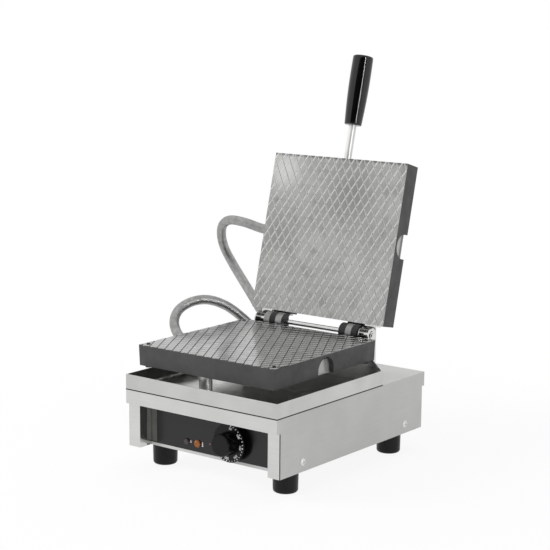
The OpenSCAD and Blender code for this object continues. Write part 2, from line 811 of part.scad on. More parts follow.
// A gland in the deck: body above, spigot through the sheet and locknut below
module deck_gland(end) translate([end.x, end.y, deck_z]) difference() {
    union() {
        cylinder(r = deck_gland_r, h = 6, $fn = 6);
        cylinder(r = gland_r - 0.5, h = deck_gland_h);
        translate([0, 0, -9]) cylinder(r = 8, h = 10);
        translate([0, 0, -sheet - 6]) cylinder(r = deck_gland_r, h = 6, $fn = 6);
    }
    translate([0, 0, -10]) cylinder(r = 5, h = 10 + deck_gland_h - 4);
}

module deck_gland_lower() color("gray") placed() deck_gland(lower_hose_end);

module deck_gland_upper() color("gray") placed() deck_gland(upper_hose_end);

// ---- Handle ----

module handle_rod() color("silver") opened() {
    rod_y(grip_y - 70, plate_y, 0, handle_z, rod_r);
    rod_y(plate_y, plate_y + 24, 0, handle_z, rod_r - 1.3);
}

// Tapered grip, a little fuller in the middle, with rounded ends
module handle_grip() color("#151515") opened() translate([0, grip_y, handle_z]) rotate([90, 0, 0])
    difference() {
        rotate_extrude() polygon(concat(
            [[0, 0], [grip_r0 - 2, 0]],
            [for (t = [0.02 : 0.07 : 0.94]) [grip_radius(t), grip_len * t]],
            [for (a = [0 : 15 : 90]) [grip_r1 - 5 + 5 * cos(a), grip_len - 5 + 5 * sin(a)]],
            [[0, grip_len]]
        ));
        translate([0, 0, -over]) cylinder(r = rod_r, h = 71 + over);
    }

function grip_radius(t) = grip_r0 + (grip_r1 - grip_r0) * t + grip_belly * sin(180 * t);

housing_cover();
post_left();
post_right();
bottom_plate();
rear_panel();
control_panel();
panel_fascia();
heat_lamp();
power_lamp();
thermostat_body();
capillary_tube();
terminal_block();
earth_stud();
mains_gland();
side_screws();
foot_front_left();
foot_front_right();
foot_rear_left();
foot_rear_right();
foot_screws();
drip_tray();
tray_gasket();
front_pillar();
pillar_nut();
rear_support();
lower_plate();
lower_cover();
lower_element();
sensor_bulb();
lower_plate_screws();
lower_lug_left();
lower_lug_right();
lower_lug_screws();
hinge_stand_left();
hinge_stand_right();
hinge_stand_bolts();
hinge_shaft();
shaft_clips();
lower_hose_gland();
conduit_lower();
deck_gland_lower();
deck_gland_upper();
upper_plate();
upper_cover();
upper_element();
upper_cover_screws();
upper_lug_left();
upper_lug_right();
upper_lug_screws();
hinge_bushes();
upper_hose_gland();
conduit_upper();
handle_rod();
handle_grip();
dial_skirt();
knob_grip();
knob_spindle();
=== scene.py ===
"""Dressed model of a waffle cone maker with one pair of hinged square baking plates.

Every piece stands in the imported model's own frame, in metres. Places are written in bench
millimetres: Y starts at the housing's front face and Z at the ground. The lid's pieces are
drawn closed and then swung open about the hinge.
"""
import json
import logging
import math
from dataclasses import dataclass
from enum import Enum
from functools import cache, partial
from typing import Any, Callable, Sequence

import bmesh
import bpy
from bmesh.types import BMesh
from bpy.types import Material, Mesh, Node, NodeSocket, NodeTree, Object
from mathutils import Matrix, Vector

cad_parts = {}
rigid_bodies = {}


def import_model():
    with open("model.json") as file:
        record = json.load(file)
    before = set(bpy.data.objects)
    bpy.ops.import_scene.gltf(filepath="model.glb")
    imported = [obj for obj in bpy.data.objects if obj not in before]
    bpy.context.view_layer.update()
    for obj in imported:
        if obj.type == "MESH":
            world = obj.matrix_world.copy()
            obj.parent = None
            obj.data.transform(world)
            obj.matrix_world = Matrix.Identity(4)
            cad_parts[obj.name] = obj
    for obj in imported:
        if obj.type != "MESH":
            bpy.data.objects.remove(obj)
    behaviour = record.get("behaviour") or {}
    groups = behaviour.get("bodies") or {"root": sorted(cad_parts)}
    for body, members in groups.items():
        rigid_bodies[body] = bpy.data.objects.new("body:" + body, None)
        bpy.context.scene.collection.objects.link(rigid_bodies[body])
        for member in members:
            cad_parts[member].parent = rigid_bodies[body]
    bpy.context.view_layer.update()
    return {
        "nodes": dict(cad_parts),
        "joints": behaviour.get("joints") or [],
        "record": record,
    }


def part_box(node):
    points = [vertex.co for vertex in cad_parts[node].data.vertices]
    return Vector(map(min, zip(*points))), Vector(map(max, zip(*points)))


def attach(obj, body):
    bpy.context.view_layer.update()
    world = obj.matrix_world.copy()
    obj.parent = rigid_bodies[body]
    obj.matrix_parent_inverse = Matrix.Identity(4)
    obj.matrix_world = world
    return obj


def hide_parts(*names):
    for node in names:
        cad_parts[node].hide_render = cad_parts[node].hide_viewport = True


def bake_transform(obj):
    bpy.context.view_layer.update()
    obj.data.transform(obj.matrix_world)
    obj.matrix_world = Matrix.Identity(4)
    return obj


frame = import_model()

log = logging.getLogger("cone_maker")


class Body(Enum):
    """The bodies that pieces ride on."""

    BASE = "base"
    LID = "lid"
    KNOB = "knob"


# The record's body of each CAD node
BODIES = {node: Body(body) for body, nodes in frame["record"]["behaviour"]["bodies"].items()
          for node in nodes}

# Metres in a millimetre, the housing's front face, and the hinge with its full turn
MM = 0.001
FRONT_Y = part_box("housing_cover")[0][1]
LID_JOINT = next(j for j in frame["joints"] if j["name"] == "lid_hinge")
HINGE = Vector(LID_JOINT["pos_m"])
LID_OPEN = math.radians(LID_JOINT["range_deg"][1])
OPENED = (
    Matrix.Translation(HINGE) @ Matrix.Rotation(-LID_OPEN, 4, "X") @ Matrix.Translation(-HINGE)
)
# Turns what is drawn upwards on the ground to face the user
TO_USER = Matrix.Rotation(math.pi / 2, 4, "X")
# The UV map that holds each point's place on its plate
PLATE_MAP = "place_on_plate"


def place(x: float, y: float, z: float) -> Vector:
    """Turns a bench point in millimetres into the frame's metres."""
    return Vector((x * MM, y * MM + FRONT_Y, z * MM))


def seat(x: float, y: float, z: float) -> Matrix:
    """Gives the matrix of a piece drawn in millimetres and seated at a bench point."""
    return Matrix.Translation(place(x, y, z)) @ Matrix.Scale(MM, 4)


# ---- Nodes and finishes ----

Adder = Callable[..., Node]


def add_node(tree: NodeTree, kind: str, inputs: dict[int | str, Any] | None = None,
             **settings: Any) -> Node:
    """Adds a node with its settings and links.

    Args:
        tree: the node tree.
        kind: the node's type.
        inputs: input name or number to a value, or to a socket or node that is linked. A
            node gives the first output that it uses, and a list links all its members.
        settings: properties of the node.
    Returns:
        The new node.
    """
    node = tree.nodes.new(kind)
    for key, value in settings.items():
        setattr(node, key, value)
    for key, value in (inputs or {}).items():
        for one in value if isinstance(value, list) else [value]:
            if isinstance(one, Node):
                one = next(out for out in one.outputs if out.enabled)
            if isinstance(one, NodeSocket):
                tree.links.new(one, node.inputs[key])
            else:
                node.inputs[key].default_value = one
    return node


def empty_nodes(owner: Material | bpy.types.World) -> Adder:
    """Empties the tree of a material or world.

    Args:
        owner: the material or world.
    Returns:
        The function that adds a node to its tree.
    """
    owner.use_nodes = True
    owner.node_tree.nodes.clear()
    return partial(add_node, owner.node_tree)


def linear(hex_code: str) -> tuple[float, float, float, float]:
    """Turns an sRGB hex colour into linear RGBA.

    Args:
        hex_code: the colour as "#RRGGBB".
    Returns:
        Red, green, blue and a full alpha.
    """
    parts = [int(hex_code[i:i + 2], 16) / 255 for i in (1, 3, 5)]
    r, g, b = [c / 12.92 if c <= 0.04045 else ((c + 0.055) / 1.055) ** 2.4 for c in parts]
    return (r, g, b, 1.0)


@dataclass(frozen=True)
class Finish:
    """A real material with slow clouds of a second tone and a fine grain.

    The clouds vary the colour and the gloss, and the grain gives a small bump. Sizes are in
    millimetres on the object. Nearly all values of the noise lie between noise_low and
    noise_high, and the colour turns between cloud_low and cloud_high.
    """

    name: str
    tone: str
    cloud_tone: str
    metallic: float = 0.0
    roughness: float = 0.5
    gloss_spread: float = 0.08
    cloud_mm: float = 40.0
    grain_mm: float = 1.2
    grain_high_mm: float = 0.02
    coat: float = 0.0
    coat_roughness: float = 0.08
    ior: float = 1.5
    shine: float = 0.5
    noise_low: float = 0.3
    noise_high: float = 0.7
    noise_roughness: float = 0.55
    cloud_low: float = 0.36
    cloud_high: float = 0.64

    @cache
    def build(self) -> Material:
        """Builds the material's nodes the first time and returns the material."""
        material = bpy.data.materials.new(self.name)
        add = empty_nodes(material)
        where = add("ShaderNodeTexCoord").outputs["Object"]
        shader = add("ShaderNodeBsdfPrincipled", {
            "Base Color": self.colour(add, where), "Metallic": self.metallic,
            "Roughness": self.swing(add, where, self.cloud_mm / 3, self.roughness,
                                    self.gloss_spread),
            "Normal": add("ShaderNodeBump", {"Height": self.grain(add, where),
                                             "Distance": self.grain_high_mm * MM}),
            "Coat Weight": self.coat, "Coat Roughness": self.coat_roughness, "IOR": self.ior,
            "Specular IOR Level": self.shine, **self.comb(add)})
        add("ShaderNodeOutputMaterial", {"Surface": shader})
        return material

    def blotches(self, add: Adder, where: NodeSocket, size: float, detail: float,
                 stretch: tuple[float, float, float] = (1, 1, 1)) -> Node:
        """Gives random blotches of one size, stretched along the axes.

        Args:
            add: adds a node to the material.
            where: the coordinates in metres.
            size: the size of a blotch in millimetres.
            detail: how many finer layers it has.
            stretch: how many times longer a blotch is along X, Y and Z.
        Returns:
            A value about 0.5 that rises and falls with the blotches.
        """
        return add("ShaderNodeTexNoise", {
            "Vector": add("ShaderNodeMapping", {
                "Vector": where, "Scale": tuple(1 / s for s in stretch)}),
            "Scale": 1 / (size * MM), "Detail": detail, "Roughness": self.noise_roughness})

    def swing(self, add: Adder, where: NodeSocket, size: float, middle: float, spread: float,
              detail: float = 2.0) -> Node:
        """Gives a value that swings about its middle with blotches of one size.

        Args:
            add: adds a node to the material.
            where: the coordinates in metres.
            size: the size of a blotch in millimetres.
            middle: the middle value.
            spread: how far it swings to each side.
            detail: how many finer layers a blotch has.
        Returns:
            The value.
        """
        return add("ShaderNodeMapRange", {
            "Value": self.blotches(add, where, size, detail), "From Min": self.noise_low,
            "From Max": self.noise_high, "To Min": middle - spread, "To Max": middle + spread})

    def colour(self, add: Adder, where: NodeSocket) -> Node:
        """Gives the colour: the tone with clouds of the second tone.

        Args:
            add: adds a node to the material.
            where: the coordinates in metres.
        Returns:
            The node of the colour.
        """
        ramp = add("ShaderNodeValToRGB", {"Fac": self.blotches(add, where, self.cloud_mm, 3)})
        low, high = ramp.color_ramp.elements
        low.position, high.position = self.cloud_low, self.cloud_high
        low.color, high.color = linear(self.tone), linear(self.cloud_tone)
        return ramp

    def grain(self, add: Adder, where: NodeSocket) -> Node:
        """Gives the height of the grain."""
        return self.blotches(add, where, self.grain_mm, 3)

    def comb(self, add: Adder) -> dict[str, Any]:
        """Leaves the highlight round. A brushed finish gives the inputs that draw it out."""
        return {}


@dataclass(frozen=True)
class BrushedSteel(Finish):
    """Stainless sheet with a fine brushed line along its long side.

    Faces that look to the front or back are brushed along X, and the others along Y. The
    real line is 0.1 mm wide, and it is drawn 1.2 mm wide so that it shows. A face looks
    along an axis where its normal has at least the share named for it.
    """

    line_mm: float = 1.2
    line_long: float = 60.0
    line_tone: float = 0.03
    drawn_out: float = 0.85
    lying_share: float = 0.7
    front_share: float = 0.6

    def facing(self, add: Adder, axis: str, least: float) -> Node:
        """Tells the faces that look along an axis from the others.

        Args:
            add: adds a node to the material.
            axis: X, Y or Z.
            least: the least share of the normal along it.
        Returns:
            1 on faces that look along the axis, and 0 on the others.
        """
        normal = add("ShaderNodeSeparateXYZ", {
            "Vector": add("ShaderNodeTexCoord").outputs["Normal"]})
        share = add("ShaderNodeMath", {0: normal.outputs[axis]}, operation="ABSOLUTE")
        return add("ShaderNodeMath", {0: share, 1: least}, operation="GREATER_THAN")

    def comb(self, add: Adder) -> dict[str, Any]:
        """Draws the highlight out across the brushed lines."""
        across = add("ShaderNodeMix", {0: self.facing(add, "Z", self.lying_share),
                                       4: (0, 0, 1), 5: (1, 0, 0)}, data_type="VECTOR")
        return {"Anisotropic": self.drawn_out, "Tangent": across}

    def grain(self, add: Adder, where: NodeSocket) -> Node:
        """Gives the brushed lines, turned to suit each face."""
        along_x, along_y = (self.blotches(add, where, self.line_mm, 2, stretch) for stretch in (
            (self.line_long, 1, 1), (1, self.line_long, 1)))
        return add("ShaderNodeMix", {0: self.facing(add, "Y", self.front_share), 2: along_y,
                                     3: along_x}, data_type="FLOAT")

    def colour(self, add: Adder, where: NodeSocket) -> Node:
        """Gives the sheet's colour with its lines a shade darker and lighter."""
        shade = add("ShaderNodeMapRange", {
            "Value": self.grain(add, where), "From Min": self.noise_low,
            "From Max": self.noise_high, "To Min": 1 - self.line_tone,
            "To Max": 1 + self.line_tone})
        return add("ShaderNodeVectorMath", {0: super().colour(add, where), "Scale": shade},
                   operation="SCALE")


@dataclass(frozen=True)
class GroundIron(Finish):
    """Cast iron with a ground face that baking has tanned in patches and at its front edge.

    A zone is a wide patch of its own tone: its place across and along the plate and its reach
    from there, as shares of the plate, and its tone. Each cover is how much of a patch's own
    tone shows at its middle.
    """

    patch_mm: float = 22.0
    patch_tone: str = "#747474"
    patch_low: float = 0.5
    patch_high: float = 0.72
    patch_cover: float = 0.85
    mottle_mm: float = 6.0
    mottle: float = 0.03
    zones: tuple[tuple[float, float, float, str], ...] = ()
    zone_cover: float = 0.95
    edge_share: float = 0.022
    edge_tone: str = "#4E4E4E"
    edge_cover: float = 0.8

    def colour(self, add: Adder, where: NodeSocket) -> Node:
        """Gives the ground grey with its tanned patches, mottle, zones and front edge."""
        patch = add("ShaderNodeMapRange", {
            "Value": self.blotches(add, where, self.patch_mm, 5), "From Min": self.patch_low,
            "From Max": self.patch_high, "To Max": self.patch_cover})
        tanned = add("ShaderNodeMix", {0: patch, 6: super().colour(add, where),
                                       7: linear(self.patch_tone)}, data_type="RGBA")
        shade = self.swing(add, where, self.mottle_mm, 1, self.mottle, 3)
        toned = add("ShaderNodeVectorMath", {0: tanned, "Scale": shade}, operation="SCALE")
        plate = add("ShaderNodeUVMap", uv_map=PLATE_MAP)
        for across, along, reach, tone in self.zones:
            away = add("ShaderNodeVectorMath", {0: plate, 1: (across, along, 0)},
                       operation="DISTANCE")
            near = add("ShaderNodeMapRange", {
                "Value": away, "From Max": reach, "To Min": self.zone_cover, "To Max": 0.0,
            }, interpolation_type="SMOOTHSTEP")
            zone_share = add("ShaderNodeMath", {0: near, 1: shade}, operation="MULTIPLY")
            toned = add("ShaderNodeMix", {0: zone_share, 6: toned, 7: linear(tone)},
                        data_type="RGBA")
        edge = add("ShaderNodeMapRange", {
            "Value": add("ShaderNodeSeparateXYZ", {"Vector": plate}).outputs["Y"],
            "From Max": self.edge_share, "To Min": self.edge_cover, "To Max": 0.0,
        }, interpolation_type="SMOOTHSTEP")
        return add("ShaderNodeMix", {0: edge, 6: toned, 7: linear(self.edge_tone)},
                   data_type="RGBA")


@dataclass(frozen=True)
class LidGlintFlank(Finish):
    """Milled iron painted pale as a highlight, paler still towards the plate's hinge."""

    hinge_glint_tone: str = "#FFFFFD"
    fade_from: float = 0.55
    fade_to: float = 0.95

    def colour(self, add: Adder, where: NodeSocket) -> Node:
        """Gives the painted highlight's tone, which pales into the hinge's tone along the plate.
        """
        spot = add("ShaderNodeSeparateXYZ", {"Vector": add("ShaderNodeUVMap", uv_map=PLATE_MAP)})
        share = add("ShaderNodeMapRange", {
            "Value": spot.outputs["Y"], "From Min": self.fade_from, "From Max": self.fade_to,
        }, interpolation_type="SMOOTHSTEP")
        return add("ShaderNodeMix", {0: share, 6: super().colour(add, where),
                                     7: linear(self.hinge_glint_tone)}, data_type="RGBA")


# A finish's roughness keeps to one side of 0.27 over its whole spread. The renderer's noise
# filter would leave a faint line where a surface crosses that value.

# Satin brushed stainless sheet: pale grey, a soft sheen drawn out along the brushing
SATIN_STAINLESS = BrushedSteel(
    "satin_stainless", "#CFCFCD", "#C8C8C6", metallic=0.25, roughness=0.3,
    gloss_spread=0.02, cloud_mm=90, grain_high_mm=0.0015)
# Folded stainless sheet of the posts: nearly a mirror, so it shows the black fascia
FOLDED_STAINLESS = BrushedSteel(
    "folded_stainless", "#D2D2D0", "#CBCBC9", metallic=1.0, roughness=0.14,
    gloss_spread=0.03, cloud_mm=90, grain_high_mm=0.002)
# Bright annealed stainless sheet of the tray and its support: a slightly hazed mirror
BRIGHT_STAINLESS = BrushedSteel(
    "bright_stainless", "#C6C6C4", "#BDBDBB", metallic=0.95, roughness=0.15,
    gloss_spread=0.04, cloud_mm=60, grain_high_mm=0.001, line_tone=0.02)
# Panel sheet behind the fascia: stainless painted dark grey as the shade of its recess, soft sheen
RECESS_SHADED_STAINLESS = BrushedSteel(
    "dull_stainless", "#737371", "#6B6B69", metallic=0.9, roughness=0.3,
    gloss_spread=0.02, cloud_mm=40, grain_high_mm=0.004)
# Polished stainless bar and plate: clear reflections with a little dirt
POLISHED_STAINLESS = Finish(
    "polished_stainless", "#DADAD9", "#CFCFCE", metallic=1.0, roughness=0.12,
    gloss_spread=0.05, cloud_mm=18, grain_high_mm=0.0015)
# Turned steel of the front pillar: wide, soft reflections
TURNED_STEEL = Finish(
    "turned_steel", "#E4E4E2", "#DADAD8", metallic=0.9, roughness=0.34,
    gloss_spread=0.05, cloud_mm=20, grain_mm=0.6, grain_high_mm=0.002)
# Bright drawn bar of the handle rod: pale, with a soft sheen
DRAWN_BAR = Finish(
    "bright_drawn_bar", "#F0F0EE", "#E8E8E6", metallic=0.4, roughness=0.32,
    gloss_spread=0.04, cloud_mm=20, grain_mm=0.6, grain_high_mm=0.002)
# Ground cast iron of the lower baking face: a dull mirror, tanned in patches
LOWER_FACE = GroundIron(
    "lower_ground_face", "#A0A09F", "#949493", metallic=1.0, roughness=0.19,
    gloss_spread=0.05, cloud_mm=60, grain_mm=2.0, grain_high_mm=0.005)
# Ground cast iron of the lid's baking face: paler, blotchy with tanned oil
LID_FACE = GroundIron(
    "lid_ground_face", "#AFAFAD", "#A2A2A0", metallic=0.9, roughness=0.33,
    gloss_spread=0.05, cloud_mm=55, grain_mm=2.0, grain_high_mm=0.005,
    patch_tone="#8E8E8D", mottle=0.08, zones=(
        # The first two zones are tanned oil; the last is a paler patch near the front left corner
        (0.62, 0.22, 0.34, "#8C8C8B"), (0.12, 0.52, 0.24, "#919190"),
        (0.1, 0.1, 0.2, "#D4D4D2")))
# Lower plate's groove flanks that face the light: bare milled iron, paled as a painted highlight
LOWER_LIT_FLANK = Finish(
    "bright_milled_flank", "#D8D8D6", "#CACAC8", metallic=0.9, roughness=0.21,
    gloss_spread=0.05, cloud_mm=30, grain_high_mm=0.002)
# Lower plate's groove flanks that run away from the light: dark grey, painted shade of the grooves
LOWER_SHADED_FLANK = Finish(
    "oiled_flank", "#3C3B39", "#454442", metallic=0.3, roughness=0.6,
    cloud_mm=30, grain_high_mm=0.002)
# Lid's groove flanks that face the light: near white as a painted highlight, palest near the hinge
LID_GLINT_FLANK = LidGlintFlank(
    "faded_milled_flank", "#FAFAF8", "#F2F2F0", metallic=0.15, roughness=0.5,
    cloud_mm=30, grain_high_mm=0.002)
# Lid's groove flanks that run away from the light: milled iron, painted a little darker as shade
LID_SHADED_FLANK = Finish(
    "tanned_flank", "#D4D4D2", "#CACAC8", metallic=0.3, roughness=0.5,
    cloud_mm=30, grain_high_mm=0.002)
# Stainless screw heads: nearly matt, painted pale as a highlight
PALE_SCREW_STEEL = Finish(
    "passivated_steel", "#F6F6F4", "#ECECEA", metallic=0.3, roughness=0.4,
    cloud_mm=10, grain_high_mm=0.002)
# Oiled skin of the casting: dark grey with the tooth of the sand mould
CAST_SKIN = Finish(
    "cast_iron_skin", "#4A4A4A", "#434343", metallic=0.3, roughness=0.55,
    cloud_mm=45, grain_mm=1.6, grain_high_mm=0.05)
# Blackened cast iron of the lid's lugs: nearly black with a low gloss
BLACKENED_IRON = Finish(
    "blackened_iron", "#1B1B1B", "#232323", metallic=0.1, roughness=0.36,
    cloud_mm=14, grain_mm=1.2, grain_high_mm=0.03, shine=0.35)
# Bare ground iron of the lower lugs: mid grey with a dull shine
BARE_IRON = Finish(
    "bare_iron", "#9C9C9A", "#8A8A88", metallic=0.85, roughness=0.38,
    cloud_mm=12, grain_mm=0.8, grain_high_mm=0.015)
# Bright zinc plating of screws, nuts and glands: pale, with soft reflections
ZINC_PLATE = Finish(
    "bright_zinc", "#DEDFE0", "#D0D1D2", metallic=0.8, roughness=0.32,
    gloss_spread=0.04, cloud_mm=6, grain_mm=0.6, grain_high_mm=0.004)
# Galvanised steel strip of the wound hose: dull grey, each turn a little different
GALVANISED_STRIP = Finish(
    "galvanised_strip", "#A8A8A7", "#929291", metallic=0.8, roughness=0.34,
    gloss_spread=0.06, cloud_mm=9, grain_mm=0.9, grain_high_mm=0.01)
# Nickel alloy sheath of the heaters: tinted brown and blue by heat
HEATED_SHEATH = Finish(
    "heated_sheath", "#6B5A4C", "#57606B", metallic=0.9, roughness=0.4, cloud_mm=12)
# Drawn copper tube: red metal, slightly tarnished
DRAWN_COPPER = Finish(
    "drawn_copper", "#B87350", "#9C5F42", metallic=1.0, roughness=0.34,
    gloss_spread=0.06, cloud_mm=10)
# Sintered bronze of the bushes: porous, dark with oil
SINTERED_BRONZE = Finish(
    "sintered_bronze", "#4A3D2C", "#3C3226", metallic=0.8, roughness=0.5,
    cloud_mm=5, grain_mm=0.5, grain_high_mm=0.02)
# Turned brass of the earth stud: yellow metal with clear highlights
TURNED_BRASS = Finish(
    "turned_brass", "#C9A557", "#B8934A", metallic=1.0, roughness=0.21,
    gloss_spread=0.06, cloud_mm=8)
# Moulded bakelite of the grip: deep black with a polished skin
BAKELITE = Finish(
    "black_bakelite", "#0B0B0B", "#0E0E0E", roughness=0.11, gloss_spread=0.02,
    cloud_mm=25, grain_mm=1.5, grain_high_mm=0.002, ior=1.55, shine=0.42)
# Moulded bakelite of the dial: deep black with a duller skin
DULL_BAKELITE = Finish(
    "dull_bakelite", "#070707", "#0A0A0A", roughness=0.24, gloss_spread=0.03,
    cloud_mm=25, grain_mm=1.5, grain_high_mm=0.004, ior=1.55, shine=0.2)
# Black enamelled sheet of the fascia: a soft mirror over deep black
FASCIA_ENAMEL = Finish(
    "fascia_enamel", "#101010", "#0D0D0D", roughness=0.24, gloss_spread=0.03,
    cloud_mm=50, grain_mm=0.7, grain_high_mm=0.01, ior=1.5, shine=0.43)
# Moulded rubber of the feet: black, half matt
MOULDED_RUBBER = Finish(
    "moulded_rubber", "#0D0D0D", "#101010", roughness=0.36, gloss_spread=0.06,
    cloud_mm=20, grain_mm=1.0, grain_high_mm=0.02, ior=1.52, shine=0.22)
# Moulded nylon of the mains gland: black and half matt
BLACK_NYLON = Finish(
    "black_nylon", "#1E1E1E", "#242424", roughness=0.45, cloud_mm=10, ior=1.53)
# Glazed steatite of the terminal block: ivory with a wet gloss
GLAZED_STEATITE = Finish(
    "glazed_steatite", "#E6DFCF", "#DDD4C2", roughness=0.18, cloud_mm=12, coat=0.4)
# Moulded phenolic of the thermostat case: tan and half matt
PHENOLIC_CASE = Finish(
    "phenolic_case", "#A98D62", "#9C8057", roughness=0.5, cloud_mm=9)
# Moulded acrylic of the heat lamp: an unlit amber lens with a wet gloss
AMBER_ACRYLIC = Finish(
    "amber_acrylic", "#9C5A1C", "#8E4E16", roughness=0.15, gloss_spread=0.03,
    cloud_mm=5, grain_high_mm=0.002, coat=0.2, ior=1.49, shine=0.35)
# Moulded acrylic of the power lamp: an unlit lens of smoked red
SMOKED_ACRYLIC = Finish(
    "smoked_acrylic", "#2A1416", "#34181A", roughness=0.15, gloss_spread=0.03,
    cloud_mm=5, grain_high_mm=0.002, coat=0.5, ior=1.49)
# White printing ink on the black parts: matt
WHITE_INK = Finish(
    "white_ink", "#F2F2F0", "#E8E8E6", roughness=0.6, cloud_mm=3, grain_high_mm=0.002)
# Red printing ink of the dot: matt and a little faded
RED_INK = Finish(
    "red_ink", "#8C5A60", "#7E4F55", roughness=0.6, cloud_mm=3, grain_high_mm=0.002)


# ---- Objects, meshes and modifiers ----

# Points this near are one, in metres on a CAD mesh and in millimetres on a turned one
WELD, SPUN_WELD = 2e-6, 1e-4
# Faces that meet at less than this are one, in degrees
FLAT_DEG = 0.6
# Folds and edges sharper than these are rounded or eased, in degrees
FOLD_DEG, EDGE_DEG = 60.0, 34.0
# How thick a printed figure is to each side, in millimetres
LETTER_THICK = 0.03


def link_object(name: str, data: bpy.types.ID) -> Object:
    """Links a new object at the origin.

    Args:
        name: the object's name.
        data: the mesh, text, lamp or camera that it shows.
    Returns:
        The object.
    """
    obj = bpy.data.objects.new(name, data)
    bpy.context.scene.collection.objects.link(obj)
    return obj


def object_from(bm: BMesh, name: str) -> Object:
    """Writes a bmesh out as a new object and frees it.

    Args:
        bm: the finished bmesh.
        name: the object's name.
    Returns:
        The object.
    """
    mesh = bpy.data.meshes.new(name)
    bm.to_mesh(mesh)
    bm.free()
    return link_object(name, mesh)


def evaluated_mesh(obj: Object) -> Mesh:
    """Gives what an object shows, with its modifiers, as a new plain mesh.

    Args:
        obj: the object.
    Returns:
        The new mesh.
    """
    bpy.context.view_layer.update()
    graph = bpy.context.evaluated_depsgraph_get()
    return bpy.data.meshes.new_from_object(obj.evaluated_get(graph), depsgraph=graph)


def bake(obj: Object) -> Object:
    """Turns what an object shows into its own mesh and removes its modifiers.

    Args:
        obj: an object at the origin whose modifiers are finished.
    Returns:
        The same object.
    """
    old, mesh = obj.data, evaluated_mesh(obj)
    obj.modifiers.clear()
    obj.data = mesh
    bpy.data.meshes.remove(old)
    mesh.name = obj.name
    return obj


def cut_away(obj: Object, cutter: Object, crossed: bool = False) -> Object:
    """Cuts one closed solid out of another.

    Args:
        obj: the solid that is cut.
        cutter: the solid that cuts it and is then removed.
        crossed: whether the cutter's own parts cross.
    Returns:
        The cut solid.
    """
    cut = obj.modifiers.new("cut", "BOOLEAN")
    cut.operation, cut.object, cut.solver = "DIFFERENCE", cutter, "EXACT"
    cut.use_self = crossed
    bake(obj)
    bpy.data.objects.remove(cutter)
    return obj


def smooth(obj: Object, crease_deg: float = 32.0) -> Object:
    """Shades an object smooth, except over its sharp edges.

    Args:
        obj: the object.
        crease_deg: the angle past which an edge stays sharp.
    Returns:
        The object.
    """
    obj.data.shade_smooth()
    obj.data.set_sharp_from_angle(angle=math.radians(crease_deg))
    return obj


def paint(obj: Object, *finishes: Finish) -> Object:
    """Gives an object these finishes in order, in place of what it has.

    Args:
        obj: the object.
        finishes: one finish for each of its material slots.
    Returns:
        The same object.
    """
    obj.data.materials.clear()
    for finish in finishes:
        obj.data.materials.append(finish.build())
    return obj


def dress(finish: Finish, *nodes: str) -> None:
    """Gives CAD nodes a finish through their own material slots.

    Args:
        finish: the finish.
        nodes: the CAD nodes that keep their shape.
    """
    for node in nodes:
        obj = frame["nodes"][node]
        if not obj.material_slots:
            obj.data.materials.append(finish.build())
        for slot in obj.material_slots:
            slot.material = finish.build()
        log.info("%s: dressed in %s", node, finish.name)


def hand_over(obj: Object, body: Body) -> None:
    """Lets a finished piece ride on its body.

    Args:
        obj: the finished piece.
        body: the body that carries it.
    """
    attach(obj, body.value)
    log.info("%s: %d faces on %s", obj.name, len(obj.data.polygons), body.value)


def stand_in(obj: Object, node: str) -> Object:
    """Lets a finished piece stand for a CAD node, on the node's own body.

    Args:
        obj: the finished piece.
        node: the CAD node.
    Returns:
        The piece.
    """
    hand_over(obj, BODIES[node])
    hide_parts(node)
    return obj


def merged_copy(node: str) -> BMesh:
    """Copies a CAD node's loose triangles and joins them into whole faces.

    Args:
        node: the CAD node.
    Returns:
        The copy, in the frame's metres.
    """
    bm = bmesh.new()
    bm.from_mesh(frame["nodes"][node].data)
    bmesh.ops.remove_doubles(bm, verts=bm.verts, dist=WELD)
    bmesh.ops.dissolve_limit(bm, angle_limit=math.radians(FLAT_DEG), verts=bm.verts,
                             edges=bm.edges)
    return bm


def round_folds(bm: BMesh, radius: float, shortest: float = 20.0) -> None:
    """Rounds the inside folds of a sheet piece, where two long faces meet in a hollow.

    Args:
        bm: the piece in the frame's metres.
        radius: the inside radius of a fold, in millimetres.
        shortest: the length of the shortest fold, in millimetres.
    """
    hollow = [e for e in bm.edges if len(e.link_faces) == 2 and e.calc_length() > shortest * MM
              and e.calc_face_angle_signed(0) < -math.radians(FOLD_DEG)]
    bmesh.ops.bevel(bm, geom=hollow, offset=radius * MM, segments=6, profile=0.5,
                    affect="EDGES")


def eased(node: str, radius: float, finish: Finish, fold: float = 0.0) -> Object:
    """Replaces a CAD node by the same shape with its sharp edges eased.

    Args:
        node: the CAD node.
        radius: the easing of the edges, in millimetres.
        finish: its finish.
        fold: the inside radius of its folds in millimetres, or 0 for sharp ones.
    Returns:
        The eased piece.
    """
    bm = merged_copy(node)
    if fold:
        round_folds(bm, fold)
    obj = object_from(bm, f"{node}_eased")
    obj.data.shade_smooth()
    bevel = obj.modifiers.new("ease", "BEVEL")
    bevel.width, bevel.segments, bevel.limit_method = radius * MM, 2, "ANGLE"
    bevel.angle_limit = math.radians(EDGE_DEG)
    bevel.use_clamp_overlap = True
    obj.modifiers.new("even", "WEIGHTED_NORMAL").keep_sharp = True
    return stand_in(paint(bake(obj), finish), node)


